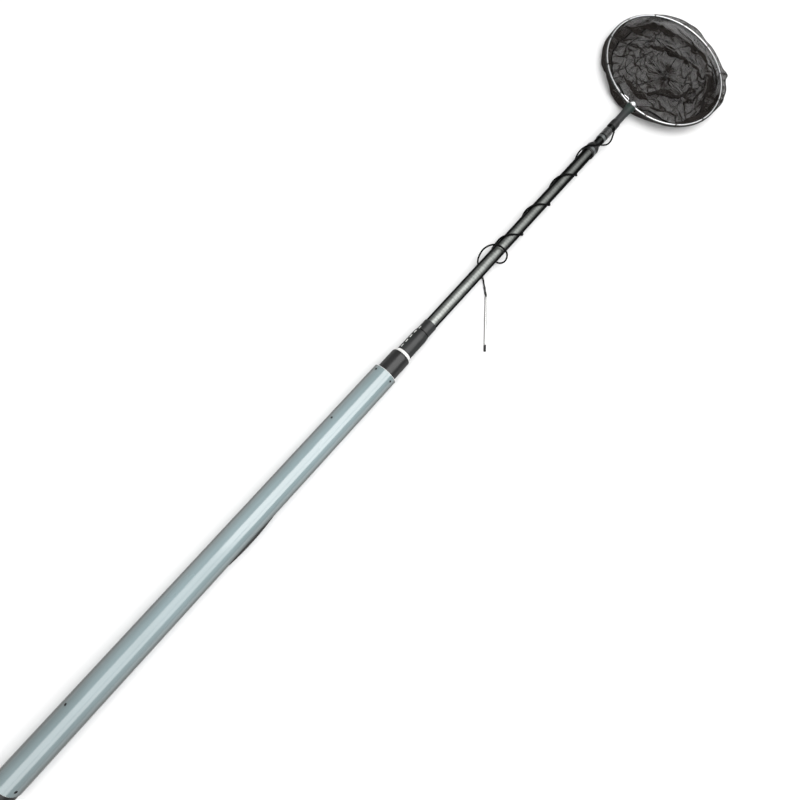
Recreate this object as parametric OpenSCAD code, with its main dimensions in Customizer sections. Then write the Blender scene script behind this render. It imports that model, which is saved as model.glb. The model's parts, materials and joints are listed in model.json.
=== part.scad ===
// Long-handled dip net: a battery tube as the handle, a two-section telescopic pole with a lead
// wound round it, a wire hoop with a mesh bag, and a trailing probe on a second lead.
// Millimetres. +X runs along the pole towards the net, +Z is up. The origin is on the pole's axis
// at the rear cap's end face. Distances called "reach" are measured from the tube's front rim.

/* [Handle tube] */
// Outside diameter of the handle's tube
tube_d = 63; // [62:0.5:66]
// Wall thickness of the handle's tube
tube_wall = 3; // [2.6:0.1:3]
// Length of the handle's tube
tube_len = 1080; // [1060:10:1300]
// Bevel on both cut rims of the tube
rim_bevel = 1.2; // [0.5:0.1:1.4]

/* [End cap and collar] */
// Outside diameter of the rear cap
cap_d = 60; // [58:0.5:61]
// Length of the rear cap outside the tube
cap_len = 30; // [28:1:40]
// Outside diameter of the front collar
collar_d = 51; // [48:0.5:54]
// Length of the front collar outside the tube
collar_len = 60; // [50:1:64]
// Distance of the end screws from each rim
screw_inset = 12; // [10:0.5:14]
// Distance of the two tray screws from the rims
tray_screw_inset = 166; // [150:1:180]

/* [Ring and sleeves] */
// Outside diameter of the white ring
ring_d = 39; // [37:0.5:42]
// Width of the white ring
ring_len = 8.5; // [6:0.5:10]
// Outside diameter of the outer sleeve
sleeve_d = 40; // [38:0.5:42]
// Reach of the outer sleeve's front end
sleeve_reach = 138; // [130:1:145]
// Outside diameter of the inner sleeve
inner_sleeve_d = 35.4; // [34:0.2:36]
// Reach of the inner sleeve's front end
inner_sleeve_reach = 170; // [160:1:180]

/* [Pole] */
// Outside diameter of the lower pole
pole_d = 32; // [31:0.5:33]
// Wall thickness of both pole sections
pole_wall = 1.5; // [1.2:0.1:1.5]
// Reach of the lower pole's front end
pole_reach = 868; // [860:1:880]
// Outside diameter of the upper pole
upper_d = 23; // [22:0.5:23.5]
// Length of the upper pole
upper_len = 567; // [480:1:570]
// Outside diameter of the lock collar
lock_d = 37; // [36.6:0.1:38]

/* [Leads] */
// Diameter of both leads
lead_d = 4; // [3:0.1:4]
// Reach of the hole that the probe's lead leaves by
probe_exit = 372; // [368:1:376]
// Reach of the hole that the wound lead leaves by
coil_exit = 392; // [388:1:396]
// Reach at which the wound lead first crosses the pole's top
coil_first = 499; // [495:1:503]
// Advance of the wound lead's first turn
coil_pitch = 121; // [118:1:122]

/* [Trigger bar] */
// Length of the trigger bar in the tube's side
bar_len = 133; // [110:1:140]
// Width of the trigger bar
bar_w = 11; // [9:0.5:12]
// Height of the bar above the tube at its middle
bar_proud = 3.5; // [3:0.1:5]
// Distance the bar presses in
bar_travel = 2.5; // [1.5:0.1:2.5]
// Distance from the tube's front rim back to the bar's middle
bar_back = 478; // [440:1:480]

/* [Net head] */
// Outside length of the hoop, along the pole
hoop_len = 371; // [330:1:400]
// Outside width of the hoop, across the pole
hoop_w = 379; // [330:1:400]
// Diameter of the hoop's wire
hoop_wire_d = 4; // [3.5:0.1:4.4]
// Reach of the hoop's rear edge
hoop_reach = 1087; // [1086:0.5:1088]
// Spread of the resting bag beyond the hoop
bag_spread = 16; // [8:1:22]
// Wall thickness of the bag as a solid
bag_wall = 1.2; // [1:0.1:1.6]

/* [Trailing probe] */
// Diameter of the probe's rod
probe_d = 6; // [5:0.2:6.2]
// Length of the probe's bare rod
probe_len = 130; // [90:1:150]
// Length of the probe's insulated tip
probe_tip_len = 18; // [10:1:24]

/* [Battery pack] */
// Diameter of a cell
cell_d = 18.2; // [18:0.1:18.4]
// Length of a cell
cell_len = 65; // [60:0.5:66]
// Layers of four cells
cell_layers = 7; // [4:1:7]

/* [Hidden] */
$fn = 96;

gap = 0.1;          // clearance between neighbours that stay still
run = 0.06;         // radial clearance of a turning or sliding fit
over = 1;           // how far a cutter passes the face that it opens

// The handle's tube and the places along it
tube_r = tube_d / 2;
bore_r = tube_r - tube_wall;
rear_x = cap_len;
front_x = cap_len + tube_len;
floor_z = -tube_r;
spigot_r = bore_r - gap;
spigot_len = 34;
seal_inset = 26;

// Screws that hold the cap and the collar in the tube
end_screw_angles = [45, 135, 225, 315];
tray_screw_angle = -42;
screw_r = 1.5;
screw_head_r = 2.6;
screw_head_h = 1.5;
screw_seat_r = tube_r - 1.1;

// The pole, its lock and the upper section
pole_r = pole_d / 2;
pole_bore_r = pole_r - pole_wall;
upper_r = upper_d / 2;
upper_bore_r = upper_r - pole_wall;
pole_end_x = front_x + pole_reach;
upper_end_x = pole_end_x + 117;
upper_tail_x = upper_end_x - upper_len;
lock_r = lock_d / 2;
lock_len = 38;
lock_x = pole_end_x - 10;
collet_len = 20;
collet_r = 15;
fitting_r = pole_r + 1.2;

// Where the head screws into the upper section
ferrule_x = upper_end_x - 7;
ferrule_len = 25;
ferrule_r = upper_r + 2.1;
stud_r = 4;
neck_x = ferrule_x + ferrule_len + 0.3;
neck_end_x = front_x + hoop_reach - 1;
neck_flat_z = 5.2;
neck_flat_tilt = 30;

// The hoop's centre line is an ellipse, broken at the rear by a hump round the stud's spool
wire_r = hoop_wire_d / 2;
hoop_a = hoop_len / 2 - wire_r;
hoop_b = hoop_w / 2 - wire_r;
hoop_cx = front_x + hoop_reach + hoop_len / 2;
spool_x = front_x + hoop_reach + 6;
spool_waist_r = 5.2;
spool_rim_r = 6.2;
spool_h = 9;
hump_r = spool_waist_r + wire_r + gap;
hump_half_angle = 110;
cord_r = 1.4;
cord_out = 3.6;
cord_drop = 2.4;

lead_r = lead_d / 2;
probe_r = probe_d / 2;

// ---- Helpers ---------------------------------------------------------------------------------

// A shape turned about the pole's axis, from points of [place along X, radius]
module turned(outline) {
    rotate([0, 90, 0]) rotate_extrude() polygon([for (p = outline) [p.y, p.x]]);
}

// A rod along X, and a pipe along X
module rod(x0, x1, r, y = 0, z = 0) {
    translate([x0, y, z]) rotate([0, 90, 0]) cylinder(h = x1 - x0, r = r);
}

module pipe(x0, x1, r_out, r_in) {
    difference() {
        rod(x0, x1, r_out);
        rod(x0 - over, x1 + over, r_in);
    }
}

// Turns its children about the pole's axis: 0 is the top and 90 is the -Y side
module round_pole(angle) {
    rotate([angle, 0, 0]) children();
}

// A box given by its lowest corner and its highest corner
module box(low, high) {
    translate(low) cube(high - low);
}

function unit(v) = v / norm(v);
function flat(lists) = [for (l = lists) for (item = l) item];
function mix(a, b, f) = a * (1 - f) + b * f;

// A point at a reach along the pole, an angle round it and a radius from its axis
function polar(p) = [front_x + p[0], -p[2] * sin(p[1]), p[2] * cos(p[1])];

// A smooth curve through points, with a number of steps between each two
function curve_point(a, b, c, d, f) =
    0.5 * ((2 * b) + (c - a) * f + (2 * a - 5 * b + 4 * c - d) * f * f
        + (3 * b - a - 3 * c + d) * f * f * f);
function curve(points, steps) = let (last = len(points) - 1) concat(
    [for (i = [0:last - 1]) for (s = [0:steps - 1])
        curve_point(points[max(i - 1, 0)], points[i], points[i + 1], points[min(i + 2, last)],
            s / steps)],
    [points[last]]);

// Directions along a path, and a side direction carried along it without twist
function tangents(path, closed) = let (n = len(path)) [for (i = [0:n - 1])
    unit(closed ? path[(i + 1) % n] - path[(i + n - 1) % n]
        : path[min(i + 1, n - 1)] - path[max(i - 1, 0)])];
function square_to(v, t) = unit(v - (v * t) * t);
function sides_along(dirs, start) = [
    for (i = 0, s = square_to(start, dirs[0]);
        i < len(dirs);
        i = i + 1, s = i < len(dirs) ? square_to(s, dirs[i]) : s) s];

// A round cord along a path, closed to a ring or capped at both ends
module cord(path, r, closed = false, start = [0, 0, 1], facets = 8) {
    dirs = tangents(path, closed);
    sides = sides_along(dirs, start);
    rings = len(path);
    points = flat([for (i = [0:rings - 1]) [for (k = [0:facets - 1])
        let (a = 360 * k / facets)
        path[i] + r * (cos(a) * sides[i] + sin(a) * cross(dirs[i], sides[i]))]]);
    spans = closed ? rings : rings - 1;
    skin = flat([for (i = [0:spans - 1]) flat([for (k = [0:facets - 1])
        let (j = (i + 1) % rings, m = (k + 1) % facets)
        [[i * facets + k, j * facets + k, j * facets + m],
         [i * facets + k, j * facets + m, i * facets + m]]])]);
    caps = closed ? [] : [
        [for (k = [0:facets - 1]) k],
        [for (k = [facets - 1:-1:0]) (rings - 1) * facets + k]];
    polyhedron(points, faces = concat(skin, caps), convexity = 10);
}

// ---- Handle: tube, caps, seals and screws ----------------------------------------------------

// A pan-head screw that stands on its seat, pointing in to the axis
module pan_screw(shank) {
    difference() {
        union() {
            cylinder(h = screw_head_h, r = screw_head_r);
            translate([0, 0, -shank]) cylinder(h = shank, r = screw_r);
        }
        translate([0, 0, screw_head_h - 0.8]) cylinder(h = over + 0.8, r = 1.2, $fn = 6);
    }
}

module end_screws(x) {
    for (a = end_screw_angles) round_pole(a) translate([x, 0, screw_seat_r]) pan_screw(6.4);
}

module end_screw_holes(x, r) {
    for (a = end_screw_angles) round_pole(a) translate([x, 0, 0]) cylinder(h = tube_r + over, r = r);
}

module tube_screw_cut(x) {
    translate([x, 0, 0]) cylinder(h = tube_r + over, r = screw_r + 0.2);
    translate([x, 0, screw_seat_r]) cylinder(h = over + 2, r = screw_head_r + 0.2);
}

module bar_slot(length, width, y0, y1) {
    mid_x = front_x - bar_back;
    half = (length - width) / 2;
    translate([0, y0, 0]) rotate([-90, 0, 0]) {
        translate([mid_x - half, -width / 2, 0]) cube([2 * half, width, y1 - y0]);
        for (s = [-1, 1]) translate([mid_x + s * half, 0, 0]) cylinder(h = y1 - y0, r = width / 2);
    }
}

module housing_tube() {
    color([0.62, 0.70, 0.71]) difference() {
        turned([[rear_x, bore_r], [rear_x, tube_r - rim_bevel], [rear_x + rim_bevel, tube_r],
            [front_x - rim_bevel, tube_r], [front_x, tube_r - rim_bevel], [front_x, bore_r]]);
        for (a = end_screw_angles, x = [rear_x + screw_inset, front_x - screw_inset])
            round_pole(a) tube_screw_cut(x);
        for (x = [rear_x + tray_screw_inset, front_x - tray_screw_inset])
            round_pole(tray_screw_angle) tube_screw_cut(x);
        bar_slot(bar_len + 2 * gap, bar_w + 2 * gap, -tube_r - over, -bore_r / 2);
    }
}

module front_screws() {
    color([0.05, 0.05, 0.05]) end_screws(front_x - screw_inset);
}

module rear_screws() {
    color([0.05, 0.05, 0.05]) end_screws(rear_x + screw_inset);
}

module tray_screws() {
    color([0.05, 0.05, 0.05])
        for (x = [rear_x + tray_screw_inset, front_x - tray_screw_inset])
            round_pole(tray_screw_angle) translate([x, 0, screw_seat_r]) pan_screw(5);
}

// Places on the rear cap's end face
jack_y = 13;
rocker_y = -13;
cap_wall = 14;
cap_cavity_r = 22.5;
well_r = 5.5;
jack_boss_r = 9.2;
jack_boss_x = 21;
cover_r = 8;
cover_recess = 2.2;
hinge_z = 10.4;
tab_r = 2;
tab_z = 7.2;
hinge_x = 1.3;
hinge_r = 1.15;
hinge_pin_r = 0.5;
rocker_w = 14;
rocker_h = 21;
groove_depth = 2.5;
seal_r = 1.2;

module seal_groove(x) {
    difference() {
        rod(x - 1.5, x + 1.5, spigot_r + over);
        rod(x - 1.5 - over, x + 1.5 + over, spigot_r - groove_depth);
    }
}

module rear_cap() {
    r = cap_d / 2;
    color([0.07, 0.07, 0.07]) difference() {
        union() {
            turned([[0, 0], [0, r - 3], [0.9, r - 0.9], [3, r], [rear_x, r], [rear_x, spigot_r],
                [rear_x + spigot_len, spigot_r], [rear_x + spigot_len, cap_cavity_r],
                [cap_wall, cap_cavity_r], [cap_wall, 0]]);
            rod(cap_wall - over, jack_boss_x, jack_boss_r + 1.8, jack_y);
        }
        rod(cap_wall, jack_boss_x + over, jack_boss_r, jack_y);
        seal_groove(rear_x + seal_inset);
        end_screw_holes(rear_x + screw_inset, screw_r + 0.05);
        // Well of the charging plug, with the cover's recess, its tab's notch and the hinge pocket
        rod(-over, cap_wall + over, well_r, jack_y);
        rod(-over, cover_recess, cover_r + 0.4, jack_y);
        rod(-over, cover_recess, tab_r + 0.4, jack_y, -tab_z);
        box([-over, jack_y - 5.2, hinge_z - 4], [hinge_x + hinge_r + 0.2, jack_y + 5.2, hinge_z + 2.2]);
        translate([hinge_x, jack_y - 7.5, hinge_z]) rotate([-90, 0, 0]) cylinder(h = 15, r = hinge_pin_r);
        // Window of the power switch
        box([-over, rocker_y - rocker_w / 2, -rocker_h / 2],
            [cap_wall + over, rocker_y + rocker_w / 2, rocker_h / 2]);
    }
}

module ring_seal(x) {
    translate([x, 0, 0]) rotate([0, 90, 0]) rotate_extrude()
        translate([spigot_r - groove_depth + 1.27, 0]) circle(r = seal_r, $fn = 32);
}

module rear_seal() {
    color([0.08, 0.08, 0.08]) ring_seal(rear_x + seal_inset);
}

module front_seal() {
    color([0.08, 0.08, 0.08]) ring_seal(front_x - seal_inset);
}

module front_collar() {
    r = collar_d / 2;
    color([0.08, 0.08, 0.08]) difference() {
        turned([[front_x - spigot_len, pole_r + gap], [front_x - spigot_len, spigot_r],
            [front_x, spigot_r], [front_x, r], [front_x + collar_len - 5, r],
            [front_x + collar_len - 2, r - 1], [front_x + collar_len - 0.5, r - 2.6],
            [front_x + collar_len, r - 4.4], [front_x + collar_len, pole_r + gap]]);
        seal_groove(front_x - seal_inset);
        end_screw_holes(front_x - screw_inset, screw_r + 0.05);
    }
}

// ---- Ring, sleeves and lower pole ------------------------------------------------------------

module white_ring() {
    x = front_x + collar_len + 0.05;
    r = ring_d / 2;
    color([0.93, 0.93, 0.92]) turned([[x, pole_r + gap], [x, r - 0.8], [x + 0.8, r],
        [x + ring_len - 0.8, r], [x + ring_len, r - 0.8], [x + ring_len, pole_r + gap]]);
}

sleeve_x = front_x + collar_len + ring_len + gap;
sleeve_end_x = front_x + sleeve_reach;
inner_sleeve_r = inner_sleeve_d / 2;

module pole_sleeve() {
    r = sleeve_d / 2;
    color([0.10, 0.10, 0.10]) turned([[sleeve_x, inner_sleeve_r + 0.05], [sleeve_x, r - 0.6],
        [sleeve_x + 0.8, r], [sleeve_end_x - 13, r], [sleeve_end_x - 2, inner_sleeve_r + 1.1],
        [sleeve_end_x, inner_sleeve_r + 0.5], [sleeve_end_x, inner_sleeve_r + 0.05]]);
}

module inner_sleeve() {
    x1 = front_x + inner_sleeve_reach;
    color([0.12, 0.12, 0.12]) turned([[sleeve_x, pole_r + 0.05], [sleeve_x, inner_sleeve_r],
        [x1 - 1, inner_sleeve_r], [x1, inner_sleeve_r - 0.6], [x1, pole_r + 0.05]]);
}

grommet_r = 4.5;

module lower_pole() {
    color([0.30, 0.31, 0.30]) difference() {
        pipe(front_x - spigot_len, pole_end_x, pole_r, pole_bore_r);
        for (reach = [probe_exit, coil_exit])
            translate([front_x + reach, 0, -pole_r - over]) cylinder(h = pole_r, r = grommet_r);
    }
}

module exit_grommets() {
    color([0.06, 0.06, 0.06]) for (reach = [probe_exit, coil_exit])
        translate([front_x + reach, 0, -pole_r]) rotate_extrude() polygon([
            [lead_r + gap, -1.6], [grommet_r + 1.3, -1.6], [grommet_r + 1.3, -0.1],
            [grommet_r - 0.05, -0.1], [grommet_r - 0.05, 3.4], [lead_r + gap, 3.4]]);
}

// ---- Twist lock between the pole sections ----------------------------------------------------

module end_fitting() {
    color([0.20, 0.20, 0.20]) pipe(pole_end_x - 8, pole_end_x, fitting_r, pole_r + 0.02);
}

module grip_collet() {
    x = pole_end_x + 0.1;
    color([0.85, 0.85, 0.82]) difference() {
        pipe(x, x + collet_len, collet_r, upper_r + run);
        for (a = [0, 90]) round_pole(a) box([x + 5, -0.6, -collet_r - over],
            [x + collet_len + over, 0.6, collet_r + over]);
    }
}

band_x = lock_x + 5;
band_len = 8;
band_depth = 0.7;

module lock_collar() {
    x1 = lock_x + lock_len;
    color([0.07, 0.07, 0.07]) turned([
        [lock_x, pole_r + run], [lock_x, lock_r - 1], [lock_x + 1, lock_r - 0.2],
        [band_x - 1.2, lock_r - 0.2], [band_x - 1, lock_r - 0.9], [band_x, lock_r - band_depth],
        [band_x + band_len, lock_r - band_depth], [band_x + band_len + 1, lock_r - 0.9],
        [band_x + band_len + 1.2, lock_r - 0.2], [x1 - 12, lock_r - 0.3], [x1 - 2, upper_r + 2.6],
        [x1, upper_r + 1.4], [x1, upper_r + 0.5], [x1 - 6, upper_r + 0.5], [x1 - 6, collet_r + run],
        [pole_end_x + 0.05, collet_r + run], [pole_end_x + 0.05, fitting_r + run],
        [pole_end_x - 8.1, fitting_r + run], [pole_end_x - 8.1, pole_r + run]]);
}

module lock_band() {
    color([0.55, 0.57, 0.56])
        pipe(band_x + 0.05, band_x + band_len - 0.05, lock_r, lock_r - band_depth + 0.02);
}

// ---- Upper pole and what is bound to it ------------------------------------------------------

module upper_pole() {
    color([0.16, 0.17, 0.17]) pipe(upper_tail_x, upper_end_x, upper_r, upper_bore_r);
}

module tail_bush() {
    color([0.85, 0.85, 0.82]) pipe(upper_tail_x, upper_tail_x + 30, pole_bore_r - run, upper_r + 0.02);
}

clip_x = front_x + 922;
tape_x = front_x + 935;

module clip_ring() {
    color([0.45, 0.47, 0.46]) turned([[clip_x, upper_r + 0.02], [clip_x, upper_r + 1.2],
        [clip_x + 1.5, upper_r + 1.9], [clip_x + 7.5, upper_r + 1.9], [clip_x + 9, upper_r + 1.2],
        [clip_x + 9, upper_r + 0.02]]);
}

module tape_band() {
    ridge = 7.5;
    turns = 4;
    color([0.06, 0.07, 0.07]) turned(concat(
        [[tape_x, upper_r + 0.02]],
        flat([for (i = [0:turns - 1]) [[tape_x + i * ridge + 0.2, upper_r + 1.3],
            [tape_x + i * ridge + 1.2, upper_r + 1.9], [tape_x + (i + 1) * ridge - 0.8, upper_r + 1.9]]]),
        [[tape_x + turns * ridge, upper_r + 1.2], [tape_x + turns * ridge, upper_r + 0.02]]));
}

module neck_ferrule() {
    x1 = ferrule_x + ferrule_len;
    color([0.06, 0.07, 0.07]) turned([[ferrule_x, upper_r + 0.02], [ferrule_x, ferrule_r - 0.6],
        [ferrule_x + 0.8, ferrule_r], [ferrule_x + 8, ferrule_r], [ferrule_x + 8.6, ferrule_r - 0.8],
        [ferrule_x + 10, ferrule_r - 0.8], [ferrule_x + 10.6, ferrule_r], [x1 - 1.5, ferrule_r],
        [x1, ferrule_r - 1.2], [x1, 7.05], [upper_end_x + 0.1, 7.05],
        [upper_end_x + 0.1, upper_r + 0.02]]);
}

insert_x = upper_end_x - 30;

module ferrule_insert() {
    x1 = ferrule_x + ferrule_len - 0.2;
    color([0.75, 0.76, 0.78]) turned([[insert_x, 0], [insert_x, upper_bore_r - 0.02],
        [upper_end_x, upper_bore_r - 0.02], [upper_end_x, 7], [x1, 7], [x1, stud_r + run],
        [insert_x + 10, stud_r + run], [insert_x + 10, 0]]);
}

// ---- Head: neck, stud, hoop and what binds the bag to it -------------------------------------

module neck() {
    x1 = neck_end_x;
    color([0.16, 0.19, 0.18]) difference() {
        turned([[neck_x, stud_r + 0.05], [neck_x, upper_r - 0.8], [neck_x + 1.5, upper_r + 0.1],
            [neck_x + 42, upper_r + 0.1], [x1 - 26, upper_r + 0.7], [x1 - 14, upper_r + 2],
            [x1 - 7, upper_r + 2.9], [x1 - 3, upper_r + 2.6], [x1 - 0.8, upper_r + 1],
            [x1, upper_r - 1.5], [x1, stud_r + 0.05]]);
        // A slanting flat on top of the front end
        translate([x1, 0, neck_flat_z]) rotate([0, neck_flat_tilt, 0])
            translate([-50, -20, 0]) cube([60, 40, 30]);
    }
}

module head_stud() {
    color([0.78, 0.79, 0.80]) {
        rod(insert_x + 15, spool_x - 2, stud_r);
        translate([spool_x, 0, 0]) rotate_extrude() polygon([[0, -spool_h / 2],
            [spool_rim_r - 0.6, -spool_h / 2], [spool_rim_r, -spool_h / 2 + 0.6],
            [spool_rim_r, -wire_r - 0.8], [spool_waist_r, -wire_r], [spool_waist_r, wire_r],
            [spool_rim_r, wire_r + 0.8], [spool_rim_r, spool_h / 2 - 0.6],
            [spool_rim_r - 0.6, spool_h / 2], [0, spool_h / 2]]);
    }
}

// The hoop's ellipse, moved outwards by a distance
function hoop_point(a, out = 0, z = 0) = let (
    n = unit([hoop_b * cos(a), hoop_a * sin(a), 0]))
    [hoop_cx + hoop_a * cos(a), hoop_b * sin(a), z] + out * n;
hoop_open = 8;   // half of the angle that the hump takes out of the ellipse
hoop_steps = 108;

function hoop_path() = concat(
    [for (i = [0:hoop_steps]) hoop_point(-180 + hoop_open + (360 - 2 * hoop_open) * i / hoop_steps)],
    [[spool_x - 3.6, 12, 0]],
    [for (i = [0:10]) let (a = hump_half_angle - 2 * hump_half_angle * i / 10)
        [spool_x + hump_r * cos(a), hump_r * sin(a), 0]],
    [[spool_x - 3.6, -12, 0]]);

module hoop() {
    color([0.80, 0.81, 0.82]) cord(hoop_path(), wire_r, closed = true, facets = 10);
}

module hoop_lashings() {
    length = 3.2;
    color([0.70, 0.71, 0.72]) for (s = [-1, 1])
        translate([spool_x - 3.3, s * 15.2, 0]) rotate([0, 0, -s * 5.5]) rotate([-90, 0, 0])
            translate([0, 0, -length / 2]) difference() {
                cylinder(h = length, r = wire_r + 1);
                translate([0, 0, -over]) cylinder(h = length + 2 * over, r = wire_r + 0.3);
            }
}

// The cord that the bag hangs from runs outside the wire and passes under the neck
cord_gap = 9;    // half of the angle left free for the neck

function cord_path() = [for (i = [0:96]) hoop_point(-180 + cord_gap + (360 - 2 * cord_gap) * i / 96,
    cord_out, -cord_drop)];

module rim_cord() {
    color([0.05, 0.05, 0.05]) cord(cord_path(), cord_r, facets = 6);
}

tie_count = 12;

module rim_ties() {
    length = 3;
    color([0.04, 0.04, 0.04]) for (k = [0:tie_count - 1]) {
        a = (k + 0.5) * 360 / tie_count;
        p = hoop_point(a);
        heading = atan2(hoop_b * cos(a), -hoop_a * sin(a));
        translate(p) rotate([0, 0, heading]) rotate([0, 90, 0]) translate([0, 0, -length / 2])
            difference() {
                translate([cord_drop * 0.43, -cord_out * 0.43, 0]) cylinder(h = length, r = 4.4);
                translate([0, 0, -over]) cylinder(h = length + 2 * over, r = wire_r + 0.2);
                translate([cord_drop, -cord_out, -over]) cylinder(h = length + 2 * over, r = cord_r + 0.2);
            }
    }
}

// The bag at rest on the floor: a shallow pan that spreads beyond the hoop and dips under the neck
bag_sides = 64;
bag_floor_z = floor_z + 0.1;
bag_top_z = -5.6;
bag_rows = [
    [-110, bag_floor_z], [-60, bag_floor_z], [-20, bag_floor_z], [bag_spread - 7, bag_floor_z + 0.6],
    [bag_spread - 1, bag_floor_z + 3], [bag_spread, bag_floor_z + 8], [bag_spread * 0.7, -15],
    [bag_spread * 0.4, -9], [cord_out + 0.6, bag_top_z]];
neck_dip_w = 34;
neck_dip_z = -19;

function dip(a) = cos(a) > 0 ? 0 : pow(max(0, 1 - pow(hoop_b * sin(a) / neck_dip_w, 2)), 2);
function dipped(z, d) = let (low = (neck_dip_z - bag_floor_z) / (bag_top_z - bag_floor_z))
    bag_floor_z + (z - bag_floor_z) * mix(1, low, d);
function bag_ring(row, inset, lift) = [for (k = [0:bag_sides - 1])
    let (a = 360 * k / bag_sides) hoop_point(a, row[0] - inset, dipped(row[1], dip(a)) + lift)];

module net_bag() {
    rows = len(bag_rows);
    outer = [for (row = bag_rows) bag_ring(row, 0, 0)];
    inner = [for (i = [rows - 1:-1:0]) bag_ring(bag_rows[i], i > 2 ? bag_wall : 0,
        i < rows - 2 ? bag_wall : 0)];
    rings = concat(outer, inner);
    points = concat(flat(rings), [[hoop_cx, 0, bag_floor_z], [hoop_cx, 0, bag_floor_z + bag_wall]]);
    low_mid = len(points) - 2;
    high_mid = len(points) - 1;
    top = 2 * rows - 1;
    skin = flat([for (i = [0:top - 1]) flat([for (k = [0:bag_sides - 1])
        let (m = (k + 1) % bag_sides)
        [[i * bag_sides + k, (i + 1) * bag_sides + k, (i + 1) * bag_sides + m],
         [i * bag_sides + k, (i + 1) * bag_sides + m, i * bag_sides + m]]])]);
    discs = flat([for (k = [0:bag_sides - 1]) let (m = (k + 1) % bag_sides)
        [[low_mid, k, m], [high_mid, top * bag_sides + m, top * bag_sides + k]]]);
    color([0.20, 0.19, 0.18]) polyhedron(points, faces = concat(skin, discs), convexity = 6);
}

module toe_knot() {
    z = bag_floor_z + bag_wall + gap;
    color([0.04, 0.04, 0.04]) translate([front_x + 1282, -16, z]) rotate_extrude()
        polygon([[0, 0], [4.5, 0], [6, 1.5], [6.3, 3], [5.4, 4.6], [3, 5.2], [2.2, 6.4],
            [3.2, 8], [0, 8.4]]);
}

// ---- Leads and the trailing probe ------------------------------------------------------------

// The wound lead as [reach, angle round the pole, radius]: inside the pole, out of its hole,
// once loosely round it, then in even turns that rise over the lock collar
coil_turns = 3;
coil_growth = 2;
coil_low_r = pole_r + lead_r + 0.4;
coil_high_r = lock_r + lead_r + 0.3;
coil_inside = [[-spigot_len + 2, 140, 7.5], [-10, 140, 7.5], [90, 140, 7.5], [190, 140, 7.5],
    [290, 140, 7.5], [360, 140, 7.5], [coil_exit - 12, 148, 7.5], [coil_exit - 5, 168, 7.8],
    [coil_exit - 0.6, 179, 10], [coil_exit, 180, 12.5], [coil_exit, 180, 15], [coil_exit, 180, 17.5],
    [coil_exit - 0.4, 184, 20.3]];
coil_slack = [[coil_exit - 2, 204, 23], [coil_exit - 1.5, 226, 24.4], [401, 264, 27.7],
    [417, 288, 31.6], [433, 312, 29.7], [443, 336, 24.5], [448, 376, 21.8], [449.5, 408, 24.1],
    [447, 435, 27.9], [440, 459, 30.9], [434, 482, 29.4], [431, 510, 24], [434, 554, 20.3],
    [447, 599, 18.9]];
function coil_reach(n) = coil_first + coil_pitch * n + coil_growth * n * n;
function coil_radius(n) = mix(coil_low_r, coil_high_r, min(1, max(0, (n - 2.3) / 0.45)));
coil_wound = [for (n = [-0.25:0.125:coil_turns - 0.1]) [coil_reach(n), 720 + 360 * n, coil_radius(n)]];
coil_end = [[876, 1800, coil_high_r], [889, 1820, coil_high_r - 0.5], [900, 1843, upper_r + lead_r + 2.4]];

module coil_cable() {
    knots = concat(coil_inside, coil_slack, coil_wound, coil_end);
    color([0.04, 0.05, 0.05]) cord([for (p = curve(knots, 3)) polar(p)], lead_r);
}

// The end of the wound lead: down past the upper pole, out in a small bight and up to the ferrule
loop_knots = [[901, 1846, upper_r + lead_r + 2.2], [907, 1864, upper_r + lead_r + 0.8],
    [914, 1886, upper_r + lead_r + 1], [921, 1895, 18], [931, 1898, 23], [942, 1899, 24.5],
    [953, 1899, 23.4], [963, 1898, 19.5], [971, 1896, 16], [977.5, 1895, 13.9]];

module lead_loop() {
    color([0.04, 0.05, 0.05]) cord([for (p = curve(loop_knots, 3)) polar(p)], lead_r);
}

module probe_feed() {
    knots = [[-spigot_len + 2, 215, 7], [probe_exit - 120, 215, 7], [probe_exit - 20, 212, 7],
        [probe_exit - 8, 200, 6.6], [probe_exit - 1.5, 184, 7.4], [probe_exit, 180, 9.4]];
    color([0.04, 0.05, 0.05]) cord([for (p = curve(knots, 4)) polar(p)], lead_r);
}

// The probe's lead drops from its hole and runs along the floor to the rod
probe_heading = 241;
rod_heading = 218;
probe_lead_reach = 64;
probe_x = front_x + probe_exit;
lead_low_z = floor_z + lead_r + 0.2;
rod_z = floor_z + probe_r + 0.1;
function probe_point(distance, z) = [probe_x + distance * cos(probe_heading),
    distance * sin(probe_heading), z];
rod_start = probe_point(probe_lead_reach, rod_z);
rod_dir = [cos(rod_heading), sin(rod_heading), 0];

module probe_lead() {
    drop = [[0, 0, -10.9], [0, 0, -14], [0, 0, -19], [1, -1.2, -22.5], [3, -4.5, -25.7],
        [5, -10, -27.9], [3, -18, lead_low_z], [-4, -26.5, lead_low_z], [-14, -38, lead_low_z],
        [-23, -48, lead_low_z]];
    knots = concat([for (d = drop) d + [probe_x, 0, 0]],
        [rod_start - 4 * rod_dir, rod_start - 0.3 * rod_dir]);
    color([0.04, 0.05, 0.05]) cord(curve(knots, 3), lead_r, start = [1, 0, 0]);
}

module along_probe(from) {
    translate(rod_start + from * rod_dir) rotate([0, 0, rod_heading]) rotate([0, 90, 0]) children();
}

module probe_rod() {
    color([0.85, 0.86, 0.87]) along_probe(0) {
        cylinder(h = probe_len, r = probe_r - 0.4);
        cylinder(h = 9, r = probe_r);
    }
}

module probe_tip() {
    color([0.05, 0.05, 0.05]) along_probe(probe_len + 0.05) rotate_extrude() polygon([[0, 0],
        [probe_r, 0], [probe_r, probe_tip_len - 3], [probe_r - 0.9, probe_tip_len - 0.9],
        [probe_r - 2.2, probe_tip_len], [0, probe_tip_len]]);
}

// ---- Rear cap's jack, cover and power switch -------------------------------------------------

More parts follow.
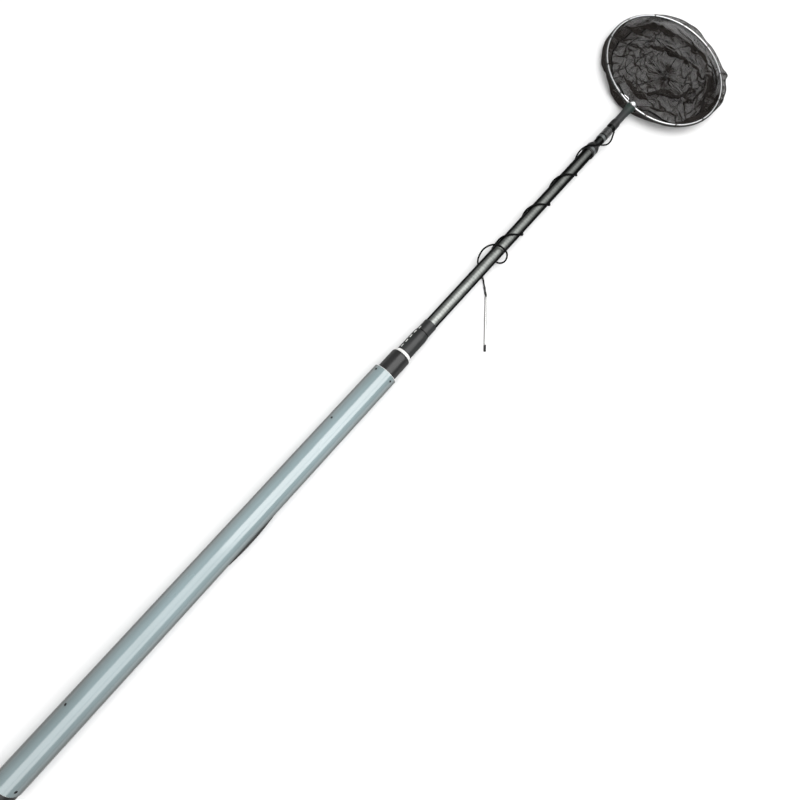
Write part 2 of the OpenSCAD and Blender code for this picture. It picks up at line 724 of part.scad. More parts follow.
module charge_jack() {
    color([0.10, 0.10, 0.11]) {
        difference() {
            union() {
                rod(cap_wall + gap, cap_wall + 2.1, jack_boss_r - gap, jack_y);
                rod(cap_wall + 2, cap_wall + 16, 6, jack_y);
            }
            rod(cap_wall, cap_wall + 10, 2.8, jack_y);
        }
        rod(cap_wall + 0.5, cap_wall + 11, 1, jack_y);
    }
}

module jack_nut() {
    x = cap_wall + 2.2;
    color([0.78, 0.78, 0.76]) difference() {
        rod(x, x + 4, jack_boss_r - gap, jack_y);
        rod(x - over, x + 4 + over, 6.1, jack_y);
        for (s = [-1, 1])
            box([x + 2.5, jack_y + s * 7.7 - 1, -1], [x + 4 + over, jack_y + s * 7.7 + 1, 1]);
    }
}

module socket_cover() {
    wall = 1.8;
    face_x = 0.2;
    color([0.10, 0.10, 0.10]) difference() {
        union() {
            rod(face_x, face_x + wall, cover_r, jack_y);
            box([face_x, jack_y - 4.6, 6], [face_x + wall, jack_y + 4.6, hinge_z]);
            translate([hinge_x, jack_y - 4.6, hinge_z]) rotate([-90, 0, 0]) cylinder(h = 9.2, r = hinge_r);
            rod(face_x, face_x + wall, tab_r, jack_y, -tab_z);
        }
        translate([hinge_x, jack_y - 6, hinge_z]) rotate([-90, 0, 0])
            cylinder(h = 12, r = hinge_pin_r + run);
    }
}

module cover_pin() {
    color([0.75, 0.75, 0.76]) translate([hinge_x, jack_y - 7.3, hinge_z]) rotate([-90, 0, 0])
        cylinder(h = 14.6, r = hinge_pin_r - 0.02);
}

rocker_axis_x = 8;
rocker_tilt = 8;
rocker_in_w = 10.4;
rocker_in_h = 16.4;

module rocker_frame() {
    color([0.08, 0.08, 0.08]) difference() {
        box([1, rocker_y - rocker_w / 2 + gap, -rocker_h / 2 + gap],
            [24, rocker_y + rocker_w / 2 - gap, rocker_h / 2 - gap]);
        box([0, rocker_y - rocker_in_w / 2, -rocker_in_h / 2],
            [15, rocker_y + rocker_in_w / 2, rocker_in_h / 2]);
        translate([rocker_axis_x, rocker_y - 6.6, 0]) rotate([-90, 0, 0]) cylinder(h = 13.2, r = 1);
    }
}

module rocker_pin() {
    color([0.75, 0.75, 0.76]) translate([rocker_axis_x, rocker_y - 6.5, 0]) rotate([-90, 0, 0])
        cylinder(h = 13, r = 0.98);
}

// The rocker rests with its upper end pressed in
module power_rocker() {
    half = 7.6;
    color([0.35, 0.05, 0.04]) translate([rocker_axis_x, 0, 0]) rotate([0, -rocker_tilt, 0])
        difference() {
            translate([0, rocker_y - rocker_in_w / 2 + 0.4, 0]) rotate([-90, 0, 0])
                linear_extrude(rocker_in_w - 0.8) polygon([[-4.6, -half], [-3.8, 0], [-4.6, half],
                    [0.5, half - 1.2], [4, 2.5], [4, -2.5], [0.5, -half + 1.2]]);
            translate([0, rocker_y - 7, 0]) rotate([-90, 0, 0]) cylinder(h = 14, r = 0.98 + run);
        }
}

// ---- Inside the tube: battery pack, tray and board -------------------------------------------

pack_x = rear_x + spigot_len + 12;
cell_step = cell_len + 1.6;
cell_off = cell_d / 2 + 0.1;
pack_end_x = pack_x + cell_layers * cell_step;
cell_places = [for (sy = [-1, 1]) for (sz = [-1, 1]) [sy * cell_off, sz * cell_off]];
rod_z_off = 25.2;
rod_r = 1.5;
tray_end_x = front_x - spigot_len - 12;

module battery_cells() {
    color([0.20, 0.45, 0.35]) for (i = [0:cell_layers - 1], p = cell_places)
        rod(pack_x + i * cell_step, pack_x + i * cell_step + cell_len, cell_d / 2, p.x, p.y);
}

module cell_spacers() {
    color([0.90, 0.89, 0.84]) for (i = [1:cell_layers - 1]) {
        x = pack_x + i * cell_step - 1.5;
        difference() {
            rod(x, x + 1.4, 22);
            for (p = cell_places) rod(x - over, x + 1.4 + over, 6, p.x, p.y);
        }
    }
}

// Strips join the cells' ends across the top pair and the bottom pair of each gap
module bus_strips() {
    color([0.80, 0.80, 0.78]) for (i = [0:cell_layers - 1], s = [-1, 1]) {
        x = pack_x + i * cell_step - 0.32;
        if (i == 0) box([x, -cell_off - 4, s * cell_off - 3], [x + 0.3, cell_off + 4, s * cell_off + 3]);
        else for (p = [-cell_off, cell_off]) rod(x, x + 0.3, 4.5, p, s * cell_off);
    }
}

module pack_wrap() {
    color([0.15, 0.30, 0.60]) pipe(pack_x, pack_end_x - 1.6, 22.9, 22.4);
}

plate_len = 3;
plate_places = [pack_x - 5, pack_end_x + 2, front_x - 388, tray_end_x - plate_len];

module end_plates() {
    color([0.88, 0.87, 0.82]) for (x = plate_places) difference() {
        rod(x, x + plate_len, bore_r - 0.2);
        for (s = [-1, 1]) rod(x - over, x + plate_len + over, rod_r + 0.05, 0, s * rod_z_off);
        rod(x - over, x + plate_len + over, 6);
    }
}

module tray_rods() {
    color([0.72, 0.73, 0.74]) for (s = [-1, 1])
        rod(pack_x - 7, tray_end_x + 4, rod_r, 0, s * rod_z_off);
}

module anchor_blocks() {
    color([0.88, 0.87, 0.82]) for (x = [rear_x + tray_screw_inset, front_x - tray_screw_inset])
        round_pole(tray_screw_angle) difference() {
            box([x - 5, -4, 23.2], [x + 5, 4, bore_r - 0.5]);
            translate([x, 0, 20]) cylinder(h = 10, r = screw_r + 0.05);
        }
}

board_x = front_x - 380;
board_len = 250;
board_w = 36;
carrier_z = -12;
board_z = carrier_z + 9;

module board_carrier() {
    color([0.85, 0.85, 0.82]) {
        box([board_x, -board_w / 2 - 2, carrier_z],
            [board_x + board_len, board_w / 2 + 2, carrier_z + 2.5]);
        for (x = [board_x + 12, board_x + board_len - 12], s = [-1, 1]) difference() {
            translate([x, s * (board_w / 2 - 5), carrier_z + 2])
                cylinder(h = board_z - carrier_z - 2, r = 3);
            translate([x, s * (board_w / 2 - 5), carrier_z + 3]) cylinder(h = 10, r = 1.3);
        }
    }
}

module control_board() {
    color([0.10, 0.35, 0.18]) difference() {
        box([board_x + 4, -board_w / 2, board_z + 0.02],
            [board_x + board_len - 4, board_w / 2, board_z + 1.6]);
        for (x = [board_x + 12, board_x + board_len - 12], s = [-1, 1])
            translate([x, s * (board_w / 2 - 5), board_z - over]) cylinder(h = 4, r = 1.6);
    }
}

module board_screws() {
    color([0.70, 0.70, 0.70]) for (x = [board_x + 12, board_x + board_len - 12], s = [-1, 1])
        translate([x, s * (board_w / 2 - 5), board_z + 1.65]) {
            cylinder(h = 1.4, r = 2.4);
            translate([0, 0, -6]) cylinder(h = 6.2, r = 1.25);
        }
}

// Capacitors, a wound core, a finned heat sink, connectors and small chips on the board
module board_parts() {
    z = board_z + 1.65;
    color([0.15, 0.15, 0.17]) {
        for (i = [0:2]) translate([board_x + 40 + 16 * i, 8, z]) cylinder(h = 14, r = 6);
        translate([board_x + 105, -2, z]) rotate_extrude() polygon([[5, 0], [12, 0], [12, 10], [5, 10]]);
        box([board_x + 132, -14, z], [board_x + 172, 14, z + 3]);
        for (i = [0:6]) box([board_x + 132, -14 + 4.4 * i, z + 2.9],
            [board_x + 172, -12.4 + 4.4 * i, z + 13]);
        box([board_x + 20, -15, z], [board_x + 30, -3, z + 9]);
        box([board_x + 216, -11, z], [board_x + 228, 11, z + 9]);
        for (i = [0:3]) box([board_x + 38 + 12 * i, -12, z], [board_x + 46 + 12 * i, -6, z + 1.8]);
        box([board_x + 184, -8, z], [board_x + 202, 8, z + 2.4]);
    }
}

module battery_leads() {
    color([0.60, 0.08, 0.06]) for (s = [-1, 1])
        rod(pack_end_x + 6, front_x - 390, 1.3, 19, s * 6);
}

// ---- Trigger bar in the tube's side ----------------------------------------------------------

bar_mid_x = front_x - bar_back;
bar_face_y = -(tube_r + bar_proud);
flange_out_y = -sqrt(pow(bore_r, 2) - pow(bar_w / 2 + 2, 2)) + gap;
flange_t = 1.5;
cradle_y = flange_out_y + flange_t + bar_travel + 0.5;
spring_off = 40;
spring_pocket = 5;
spring_pocket_r = 3.6;

module press_bar() {
    crown_r = (pow(bar_len / 2, 2) + pow(bar_proud, 2)) / (2 * bar_proud);
    color([0.03, 0.03, 0.03]) {
        intersection() {
            bar_slot(bar_len, bar_w, bar_face_y, flange_out_y + 0.2);
            translate([bar_mid_x, bar_face_y + crown_r, -bar_w])
                cylinder(h = 2 * bar_w, r = crown_r, $fn = 720);
        }
        bar_slot(bar_len + 2, bar_w + 4, flange_out_y, flange_out_y + flange_t);
        translate([bar_mid_x, flange_out_y + flange_t - 0.1, 0]) rotate([-90, 0, 0])
            cylinder(h = 1.8, r = 1.5);
    }
}

module bar_cradle() {
    half = bar_len / 2 + 8;
    color([0.85, 0.85, 0.82]) difference() {
        intersection() {
            union() {
                box([bar_mid_x - half, cradle_y, -12], [bar_mid_x + half, cradle_y + 6, 12]);
                for (s = [-1, 1]) box([bar_mid_x + s * (half - 3.5) - 3, -bore_r, -12],
                    [bar_mid_x + s * (half - 3.5) + 3, cradle_y + 6, 12]);
            }
            rod(bar_mid_x - half - over, bar_mid_x + half + over, bore_r - gap);
        }
        for (s = [-1, 1]) translate([bar_mid_x + s * spring_off, cradle_y - over, 0]) rotate([-90, 0, 0])
            cylinder(h = spring_pocket + over, r = spring_pocket_r);
        box([bar_mid_x - 10.5, cradle_y - over, -3.6], [bar_mid_x + 10.5, cradle_y + 7, 3.6]);
    }
}

// Springs drawn at the length that they have with the bar pressed
module bar_springs() {
    coils = 4;
    r = 2.6;
    wire = 0.4;
    y0 = cradle_y + spring_pocket - wire - 0.1;
    rise = spring_pocket - 2 * wire;
    color([0.75, 0.76, 0.78]) for (s = [-1, 1])
        cord([for (i = [0:coils * 14]) let (a = 360 * i / 14)
            [bar_mid_x + s * spring_off + r * cos(a), y0 - rise * i / (coils * 14), r * sin(a)]],
            wire, start = [0, 1, 0], facets = 6);
}

module trigger_switch() {
    color([0.12, 0.12, 0.13]) {
        box([bar_mid_x - 10, cradle_y + 1.4, -3.2], [bar_mid_x + 10, cradle_y + 10, 3.2]);
        for (i = [-1:1]) box([bar_mid_x + 7 * i - 0.8, cradle_y + 9.9, -1.6],
            [bar_mid_x + 7 * i + 0.8, cradle_y + 14, 1.6]);
    }
}

housing_tube();
front_screws();
rear_screws();
tray_screws();
rear_cap();
rear_seal();
front_collar();
front_seal();
white_ring();
pole_sleeve();
inner_sleeve();
lower_pole();
exit_grommets();
end_fitting();
grip_collet();
charge_jack();
jack_nut();
rocker_frame();
rocker_pin();
cover_pin();
battery_cells();
cell_spacers();
bus_strips();
pack_wrap();
end_plates();
tray_rods();
anchor_blocks();
board_carrier();
control_board();
board_parts();
board_screws();
battery_leads();
bar_cradle();
bar_springs();
trigger_switch();
coil_cable();
probe_feed();
socket_cover();
power_rocker();
press_bar();
lock_collar();
lock_band();
upper_pole();
tail_bush();
clip_ring();
tape_band();
lead_loop();
neck_ferrule();
ferrule_insert();
neck();
head_stud();
hoop();
hoop_lashings();
rim_cord();
rim_ties();
net_bag();
toe_knot();
probe_lead();
probe_rod();
probe_tip();
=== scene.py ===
"""A battery-powered dip net on its CAD frame: materials, leads, cords, the mesh bag, studio and camera."""

import json
import math
import random
from math import cos, sin

import bpy
from mathutils import Matrix, Vector, noise


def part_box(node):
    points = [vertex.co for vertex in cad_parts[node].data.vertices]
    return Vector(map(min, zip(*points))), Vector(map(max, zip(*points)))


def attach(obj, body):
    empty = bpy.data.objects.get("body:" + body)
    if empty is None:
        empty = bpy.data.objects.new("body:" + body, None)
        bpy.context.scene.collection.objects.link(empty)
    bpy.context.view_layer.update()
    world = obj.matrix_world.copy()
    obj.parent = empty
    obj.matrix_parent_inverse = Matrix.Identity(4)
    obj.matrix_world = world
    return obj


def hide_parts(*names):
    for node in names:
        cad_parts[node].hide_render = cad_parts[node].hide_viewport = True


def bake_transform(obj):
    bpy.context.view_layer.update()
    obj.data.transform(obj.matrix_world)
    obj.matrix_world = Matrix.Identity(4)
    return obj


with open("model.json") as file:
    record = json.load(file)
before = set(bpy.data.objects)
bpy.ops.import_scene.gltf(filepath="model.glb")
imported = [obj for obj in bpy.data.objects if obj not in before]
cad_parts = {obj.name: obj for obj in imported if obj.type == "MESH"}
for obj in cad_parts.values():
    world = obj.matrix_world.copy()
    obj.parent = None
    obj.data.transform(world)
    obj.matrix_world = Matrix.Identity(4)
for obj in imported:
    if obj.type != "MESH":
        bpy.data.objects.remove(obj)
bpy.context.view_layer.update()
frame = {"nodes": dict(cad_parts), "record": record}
MM = 0.001
TAU = 2 * math.pi

# ---- Places along the part, read from the frame ----------------------------------------------

TUBE_LOW, TUBE_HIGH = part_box("housing_tube")
FLOOR_Z = TUBE_LOW.z
RIM_X = TUBE_HIGH.x
SLEEVE_LOW, SLEEVE_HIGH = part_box("pole_sleeve")
TAPE_LOW, TAPE_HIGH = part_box("tape_band")
UPPER_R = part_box("upper_pole")[1].y
HOOP_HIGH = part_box("hoop")[1]
KNOT_LOW, KNOT_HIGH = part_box("toe_knot")
STUD_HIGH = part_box("head_stud")[1]

WIRE_R = 2 * MM
HOOP_A = 183.5 * MM                        # half length of the wire's centre line
HOOP_B = HOOP_HIGH.y - WIRE_R              # half width
HOOP_X = HOOP_HIGH.x - WIRE_R - HOOP_A     # centre
SPOOL_R = 6.2 * MM                         # spool at the stud's end
SPOOL_X = STUD_HIGH.x - SPOOL_R
CORD_R = 1.4 * MM
CORD_OUT = 3.6 * MM                        # the cord lies this far outside the wire's centre line
CORD_DROP = 2.4 * MM                       # and this far below it
LEAD_R = 2 * MM


def polar(reach, angle, radius):
    """A point at a reach in mm past the tube's rim and a radius in mm from the axis.

    The angle round the axis is in degrees: 0 is the top, 90 the -Y side.
    """
    turn = math.radians(angle)
    return Vector((RIM_X + reach * MM, -radius * MM * sin(turn), radius * MM * cos(turn)))


def hoop_point(angle, out=0.0, z=0.0):
    """A point on the hoop's centre line at an angle in degrees, moved outward and up."""
    turn = math.radians(angle)
    normal = Vector((HOOP_B * cos(turn), HOOP_A * sin(turn), 0)).normalized()
    place = Vector((HOOP_X + HOOP_A * cos(turn), HOOP_B * sin(turn), z))
    return place + normal * out


def mix(a, b, share):
    return a + (b - a) * share


def smooth(x):
    x = min(max(x, 0.0), 1.0)
    return x * x * (3 - 2 * x)


# ---- Mesh helpers ----------------------------------------------------------------------------

def make_object(name, points, faces, uvs=None):
    """A smooth-shaded mesh object; uvs holds one (u, v) per face corner."""
    mesh = bpy.data.meshes.new(name)
    mesh.from_pydata([tuple(p) for p in points], [], faces)
    if uvs:
        layer = mesh.uv_layers.new(name="UVMap")
        for corner, uv in zip(layer.data, uvs):
            corner.uv = uv
    mesh.polygons.foreach_set("use_smooth", [True] * len(mesh.polygons))
    mesh.update()
    obj = bpy.data.objects.new(name, mesh)
    bpy.context.scene.collection.objects.link(obj)
    return obj


def curve(knots, steps, closed=False):
    """A smooth path through knots, with a number of steps between each two."""
    knots = [Vector(k) for k in knots]
    count = len(knots)
    path = []
    for i in range(count if closed else count - 1):
        near = [(i + k) % count if closed else min(max(i + k, 0), count - 1) for k in (-1, 0, 1, 2)]
        a, b, c, d = (knots[k] for k in near)
        for s in range(steps):
            f = s / steps
            path.append(0.5 * (2 * b + (c - a) * f + (2 * a - 5 * b + 4 * c - d) * f * f
                               + (3 * b - a - 3 * c + d) * f ** 3))
    if not closed:
        path.append(knots[-1])
    return path


def path_frames(path, closed):
    """Directions and side vectors along a path, without twist, and the arc length at each point."""
    count = len(path)
    dirs, lengths, run = [], [], 0.0
    for i in range(count):
        ahead = path[(i + 1) % count] if closed else path[min(i + 1, count - 1)]
        behind = path[i - 1] if closed else path[max(i - 1, 0)]
        dirs.append((ahead - behind).normalized())
        lengths.append(run)
        if i + 1 < count:
            run += (path[i + 1] - path[i]).length
    start = Vector((0, 0, 1)) if abs(dirs[0].z) < 0.9 else Vector((1, 0, 0))
    side = (start - dirs[0] * start.dot(dirs[0])).normalized()
    sides = []
    for d in dirs:
        side = (side - d * side.dot(d)).normalized()
        sides.append(side.copy())
    if closed:
        last = (sides[-1] - dirs[0] * sides[-1].dot(dirs[0])).normalized()
        off = math.atan2(dirs[0].cross(sides[0]).dot(last), sides[0].dot(last))
        sides = [Matrix.Rotation(-off * i / count, 3, d) @ s for i, (d, s) in enumerate(zip(dirs, sides))]
    return dirs, sides, lengths


def skin(us, sides, closed=False, width=1.0, end_step=0.0):
    """Faces and uvs of a pipe of point rings with one u per ring; a closed one has one u more and no ends."""
    rings = len(us) - 1 if closed else len(us)
    faces, uvs = [], []
    for i, (u0, u1) in enumerate(zip(us, us[1:])):
        j = (i + 1) % rings
        for k in range(sides):
            m = (k + 1) % sides
            faces.append((i * sides + k, i * sides + m, j * sides + m, j * sides + k))
            v0, v1 = width * k / sides, width * (k + 1) / sides
            uvs += [(u0, v0), (u0, v1), (u1, v1), (u1, v0)]
    if not closed:
        faces += [tuple(range(sides))[::-1], tuple((rings - 1) * sides + k for k in range(sides))]
        uvs += [(0, end_step * k) for k in range(sides)] * 2
    return faces, uvs


def sweep_data(path, radius, closed=False, sides=12, strands=0, lay=1.0, groove=0.0):
    """Points, faces and uvs of a cord along a path. strands, lay and groove shape a laid rope."""
    dirs, side_dirs, lengths = path_frames(path, closed)
    points = []
    for p, d, s, run in zip(path, dirs, side_dirs, lengths):
        other = d.cross(s)
        r_here = radius(run) if callable(radius) else radius
        for k in range(sides):
            turn = TAU * k / sides
            r = r_here
            if strands:
                r *= 1 - groove * (0.5 - 0.5 * cos(strands * (turn - TAU * run / lay)))
            points.append(p + s * (r * cos(turn)) + other * (r * sin(turn)))
    if closed:
        lengths.append(lengths[-1] + (path[0] - path[-1]).length)
    return points, *skin(lengths, sides, closed, end_step=1 / sides)


def join_data(parts):
    """Several (points, faces, uvs) as one."""
    points, faces, uvs = [], [], []
    for more_points, more_faces, more_uvs in parts:
        base = len(points)
        points += more_points
        faces += [tuple(base + v for v in face) for face in more_faces]
        uvs += more_uvs
    return points, faces, uvs


def sweep(name, path, radius, **shape):
    return make_object(name, *sweep_data(path, radius, **shape))


def lathe(name, profile, origin, direction, sides=40):
    """A closed turned piece from (distance, radius) pairs in mm along a direction."""
    axis = Vector(direction).normalized()
    side = axis.orthogonal().normalized()
    other = axis.cross(side)
    points = []
    for along, r in profile:
        for k in range(sides):
            turn = TAU * k / sides
            points.append(origin + axis * (along * MM) + (side * cos(turn) + other * sin(turn)) * (r * MM))
    return make_object(name, points, *skin([along * MM for along, _ in profile], sides))


def wrap_path(angle, turns, pitch, thread, around, drop, steps=28):
    """Turns of thread wound round the hoop's wire and the cord beside it, at an angle of the hoop."""
    here = hoop_point(angle)
    ahead = (hoop_point(angle + 0.5) - hoop_point(angle - 0.5)).normalized()
    out = (hoop_point(angle, 1.0) - here).normalized()
    up = Vector((0, 0, 1))
    first, second = Vector((0, 0)), Vector((around, -drop))
    across = (second - first).normalized()
    square = Vector((-across.y, across.x))
    path = []
    total = int(turns * steps)
    for i in range(total + 1):
        turn = TAU * i / steps
        c, s = cos(turn), sin(turn)
        centre = second if c > 0 else first
        r = (CORD_R if c > 0 else WIRE_R) + thread
        flat = centre + across * (c * r) + square * (s * r)
        slide = pitch * (i / steps - turns / 2)
        path.append(here + ahead * slide + out * flat.x + up * flat.y)
    return path


# ---- Material helpers ------------------------------------------------------------------------

def srgb(r, g, b):
    """A colour from 0-255 values as linear light."""
    def one(v):
        v /= 255
        return v / 12.92 if v <= 0.04045 else ((v + 0.055) / 1.055) ** 2.4
    return one(r), one(g), one(b)


class Shade:
    """A material's node tree, built up one call at a time."""

    def __init__(self, name):
        self.material = bpy.data.materials.new(name)
        self.material.use_nodes = True
        self.nodes = self.material.node_tree.nodes
        self.links = self.material.node_tree.links
        self.nodes.clear()
        self.coords = self.nodes.new("ShaderNodeTexCoord")

    def feed(self, socket, value):
        if isinstance(value, bpy.types.NodeSocket):
            self.links.new(value, socket)
        elif socket.type == "RGBA":
            socket.default_value = (*value[:3], 1)
        else:
            socket.default_value = value

    def add(self, kind, inputs, out=0, **settings):
        made = self.nodes.new(kind)
        for key, value in settings.items():
            setattr(made, key, value)
        for key, value in inputs.items():
            self.feed(made.inputs[key], value)
        return made.outputs[out]

    def math(self, operation, a, b=0.0, clamp=False):
        return self.add("ShaderNodeMath", {0: a, 1: b}, operation=operation, use_clamp=clamp)

    def times(self, a, b):
        return self.math("MULTIPLY", a, b)

    def plus(self, a, b, clamp=False):
        return self.math("ADD", a, b, clamp)

    def minus(self, a, b):
        return self.math("SUBTRACT", a, b)

    def absolute(self, a):
        return self.math("ABSOLUTE", a)

    def place(self, stretch=(1, 1, 1), uv=False):
        source = self.coords.outputs["UV" if uv else "Object"]
        return self.add("ShaderNodeMapping", {"Vector": source, "Scale": stretch})

    def axes(self, uv=False):
        source = self.coords.outputs["UV" if uv else "Object"]
        split = self.nodes.new("ShaderNodeSeparateXYZ")
        self.links.new(source, split.inputs[0])
        return split.outputs

    def noise(self, scale, detail=3.0, rough=0.55, stretch=(1, 1, 1), uv=False):
        return self.add("ShaderNodeTexNoise", {"Vector": self.place(stretch, uv), "Scale": scale,
                                               "Detail": detail, "Roughness": rough})

    def cells(self, scale, stretch=(1, 1, 1), uv=False, feature="F1"):
        return self.add("ShaderNodeTexVoronoi", {"Vector": self.place(stretch, uv), "Scale": scale},
                        feature=feature)

    def between(self, value, low, high, to_low=0.0, to_high=1.0):
        return self.add("ShaderNodeMapRange", {0: value, 1: low, 2: high, 3: to_low, 4: to_high})

    def mix(self, share, a, b):
        made = self.nodes.new("ShaderNodeMix")
        made.data_type = "RGBA"
        for index, value in ((0, share), (6, a), (7, b)):
            self.feed(made.inputs[index], value)
        return made.outputs[2]

    def bump(self, height, distance, strength=1.0, normal=None):
        inputs = {"Height": height, "Distance": distance, "Strength": strength}
        if normal is not None:
            inputs["Normal"] = normal
        return self.add("ShaderNodeBump", inputs)

    def facing(self, blend=0.5):
        return self.add("ShaderNodeLayerWeight", {"Blend": blend}, out=1)

    def surface(self, **inputs):
        made = self.nodes.new("ShaderNodeBsdfPrincipled")
        for key, value in inputs.items():
            self.feed(made.inputs[key.replace("_", " ")], value)
        return made.outputs[0]

    def done(self, shader):
        out = self.nodes.new("ShaderNodeOutputMaterial")
        self.links.new(shader, out.inputs["Surface"])
        return self.material


def specks(shade, scale, amount):
    """A sparse mask of small specks."""
    return shade.between(shade.noise(scale, 2.0, 0.6), amount, amount + 0.05)


# ---- Materials -------------------------------------------------------------------------------

DASH_ANGLE = 51.0        # where the sleeve's row of dashes lies, in degrees from the top


def pale_pipe():
    """Glossy pale pipe plastic: faint lengthwise streaks and scratches, a painted highlight on the cut rims, and
    painted brownish-grey shade towards its silhouette.
    """
    m = Shade("pale_pipe")
    x = m.axes()[0]
    tone = m.noise(14, 4, 0.6, (0.25, 1, 1))
    streaks = m.noise(60, 3, 0.6, (0.02, 1, 1))
    edge = m.facing(0.5)
    base = m.mix(m.between(tone, 0.35, 0.65), srgb(112, 132, 135), srgb(124, 144, 148))
    base = m.mix(m.between(streaks, 0.5, 0.8, 0, 0.35), base, srgb(140, 156, 158))
    # Painted shade: the pipe darkens to brownish grey towards its silhouette.
    base = m.mix(m.between(edge, 0.12, 0.62, 0, 0.85), base, srgb(72, 72, 70))
    base = m.mix(m.times(specks(m, 420, 0.72), 0.5), base, srgb(70, 66, 60))
    # Painted highlight: a near-white band at each cut end, standing in for light caught by the chamfer.
    rim = m.math("MAXIMUM", m.between(x, RIM_X - 1.25 * MM, RIM_X - 1.0 * MM),
                 m.between(x, TUBE_LOW.x + 1.25 * MM, TUBE_LOW.x + 1.0 * MM))
    base = m.mix(rim, base, srgb(238, 240, 238))
    scratches = m.noise(700, 2, 0.5, (0.015, 1, 1))
    scuffs = m.noise(260, 5, 0.65, (0.3, 1, 1))
    rough = m.plus(m.between(tone, 0.3, 0.7, 0.2, 0.28), m.times(rim, 0.4))
    relief = m.bump(scuffs, 0.00006, 0.25, m.bump(scratches, 0.00008, 0.3))
    return m.done(m.surface(Base_Color=base, Roughness=rough, Normal=relief,
                            Specular_IOR_Level=m.between(edge, 0.15, 0.6, 0.5, 0.05),
                            Coat_Weight=m.between(edge, 0.2, 0.6, 1.0, 0.12), Coat_IOR=2.2,
                            Coat_Roughness=m.between(tone, 0.3, 0.7, 0.08, 0.14),
                            Coat_Normal=m.bump(scratches, 0.00004, 0.2)))


def moulded(name, colour, roughness, grain=900, relief=0.00006, coat=0.0, worn=(0.3, 0.3, 0.3), wear=0.15,
            gloss=0.5):
    """Moulded plastic or rubber: fine grain, uneven gloss, small scuffs and a lighter worn tone."""
    m = Shade(name)
    tone = m.noise(35, 4, 0.6)
    fine = m.noise(grain, 2, 0.5)
    scuff = m.noise(120, 5, 0.7, (0.15, 1, 1))
    dark = tuple(c * 0.75 for c in colour)
    base = m.mix(m.between(tone, 0.35, 0.65), dark, colour)
    base = m.mix(m.between(scuff, 0.62, 0.75, 0, wear), base, worn)
    rough = m.between(m.plus(tone, m.times(scuff, 0.5)), 0.5, 1.0,
                      roughness * 0.8, min(roughness * 1.25, 1.0))
    normal = m.bump(scuff, relief * 0.6, 0.3, m.bump(fine, relief, 0.5))
    edge = m.facing(0.5)
    return m.done(m.surface(Base_Color=base, Roughness=rough, Normal=normal,
                            Specular_IOR_Level=m.between(edge, 0.15, 0.6, gloss, gloss * 0.15),
                            Coat_Weight=m.between(edge, 0.15, 0.6, coat, coat * 0.1),
                            Coat_Roughness=roughness * 0.8))


def metal(name, colour, roughness, along=(0.02, 1, 1), uv=False, relief=0.00003, rim=None):
    """Metal with fine brushed lines along one direction and uneven tone; rim is a dark colour painted on its
    silhouette as shade, which also darkens the reflections there.
    """
    m = Shade(name)
    lines = m.noise(900, 3, 0.6, along, uv)
    tone = m.noise(60, 3, 0.6, uv=uv)
    dark = tuple(c * 0.8 for c in colour)
    base = m.mix(m.between(tone, 0.3, 0.7), dark, colour)
    if rim:
        # Painted shade: the base colour turns to the rim colour towards the silhouette.
        base = m.mix(m.between(m.facing(0.5), 0.1, 0.45), base, rim)
    rough = m.between(m.plus(lines, tone), 0.7, 1.3, roughness * 0.7, roughness * 1.4)
    # Painted reflection: the rim colour also darkens the grazing reflections.
    return m.done(m.surface(Base_Color=base, Metallic=1.0, Roughness=rough,
                            Normal=m.bump(lines, relief, 0.5), Specular_Tint=rim or (1, 1, 1)))


def sleeve_finish():
    """Satin black shrunk sleeve with a row of plain light dashes along one line and a dark seam."""
    m = Shade("sleeve_satin")
    x, y, z = m.axes()
    tone = m.noise(40, 4, 0.6, (0.4, 1, 1))
    fine = m.noise(1100, 2, 0.5)
    wrinkle = m.noise(260, 3, 0.6, (1, 0.25, 0.25))
    edge = m.facing(0.5)
    base = m.mix(m.between(tone, 0.35, 0.65), srgb(18, 20, 20), srgb(34, 37, 37))
    angle = m.times(m.math("ARCTAN2", y, z), 180 / math.pi)
    on_line = m.between(m.absolute(m.minus(angle, DASH_ANGLE)), 3.4, 4.2, 1, 0)
    step = m.math("DIVIDE", m.minus(x, SLEEVE_LOW.x + 5 * MM), 16 * MM)
    dash = m.between(m.math("FRACT", step), 0.5, 0.54, 1, 0)
    within = m.times(m.between(x, SLEEVE_LOW.x + 4 * MM, SLEEVE_LOW.x + 4.5 * MM),
                     m.between(x, SLEEVE_LOW.x + 80 * MM, SLEEVE_LOW.x + 81 * MM, 1, 0))
    mark = m.times(m.times(on_line, dash), within)
    worn = m.between(m.noise(500, 3, 0.6), 0.3, 0.4)
    seam = m.between(m.absolute(m.minus(x, SLEEVE_HIGH.x)), 0.9 * MM, 1.5 * MM, 1, 0)
    base = m.mix(seam, base, (0.002, 0.002, 0.002))
    base = m.mix(m.times(mark, worn), base, srgb(225, 228, 224))
    normal = m.bump(wrinkle, 0.00012, 0.25, m.bump(fine, 0.00005, 0.5))
    gloss = m.times(m.between(edge, 0.12, 0.5, 0.6, 0.08), m.between(seam, 0, 1, 1, 0.1))
    return m.done(m.surface(Base_Color=base, Roughness=m.between(tone, 0.3, 0.7, 0.34, 0.44), Normal=normal,
                            Specular_IOR_Level=gloss))


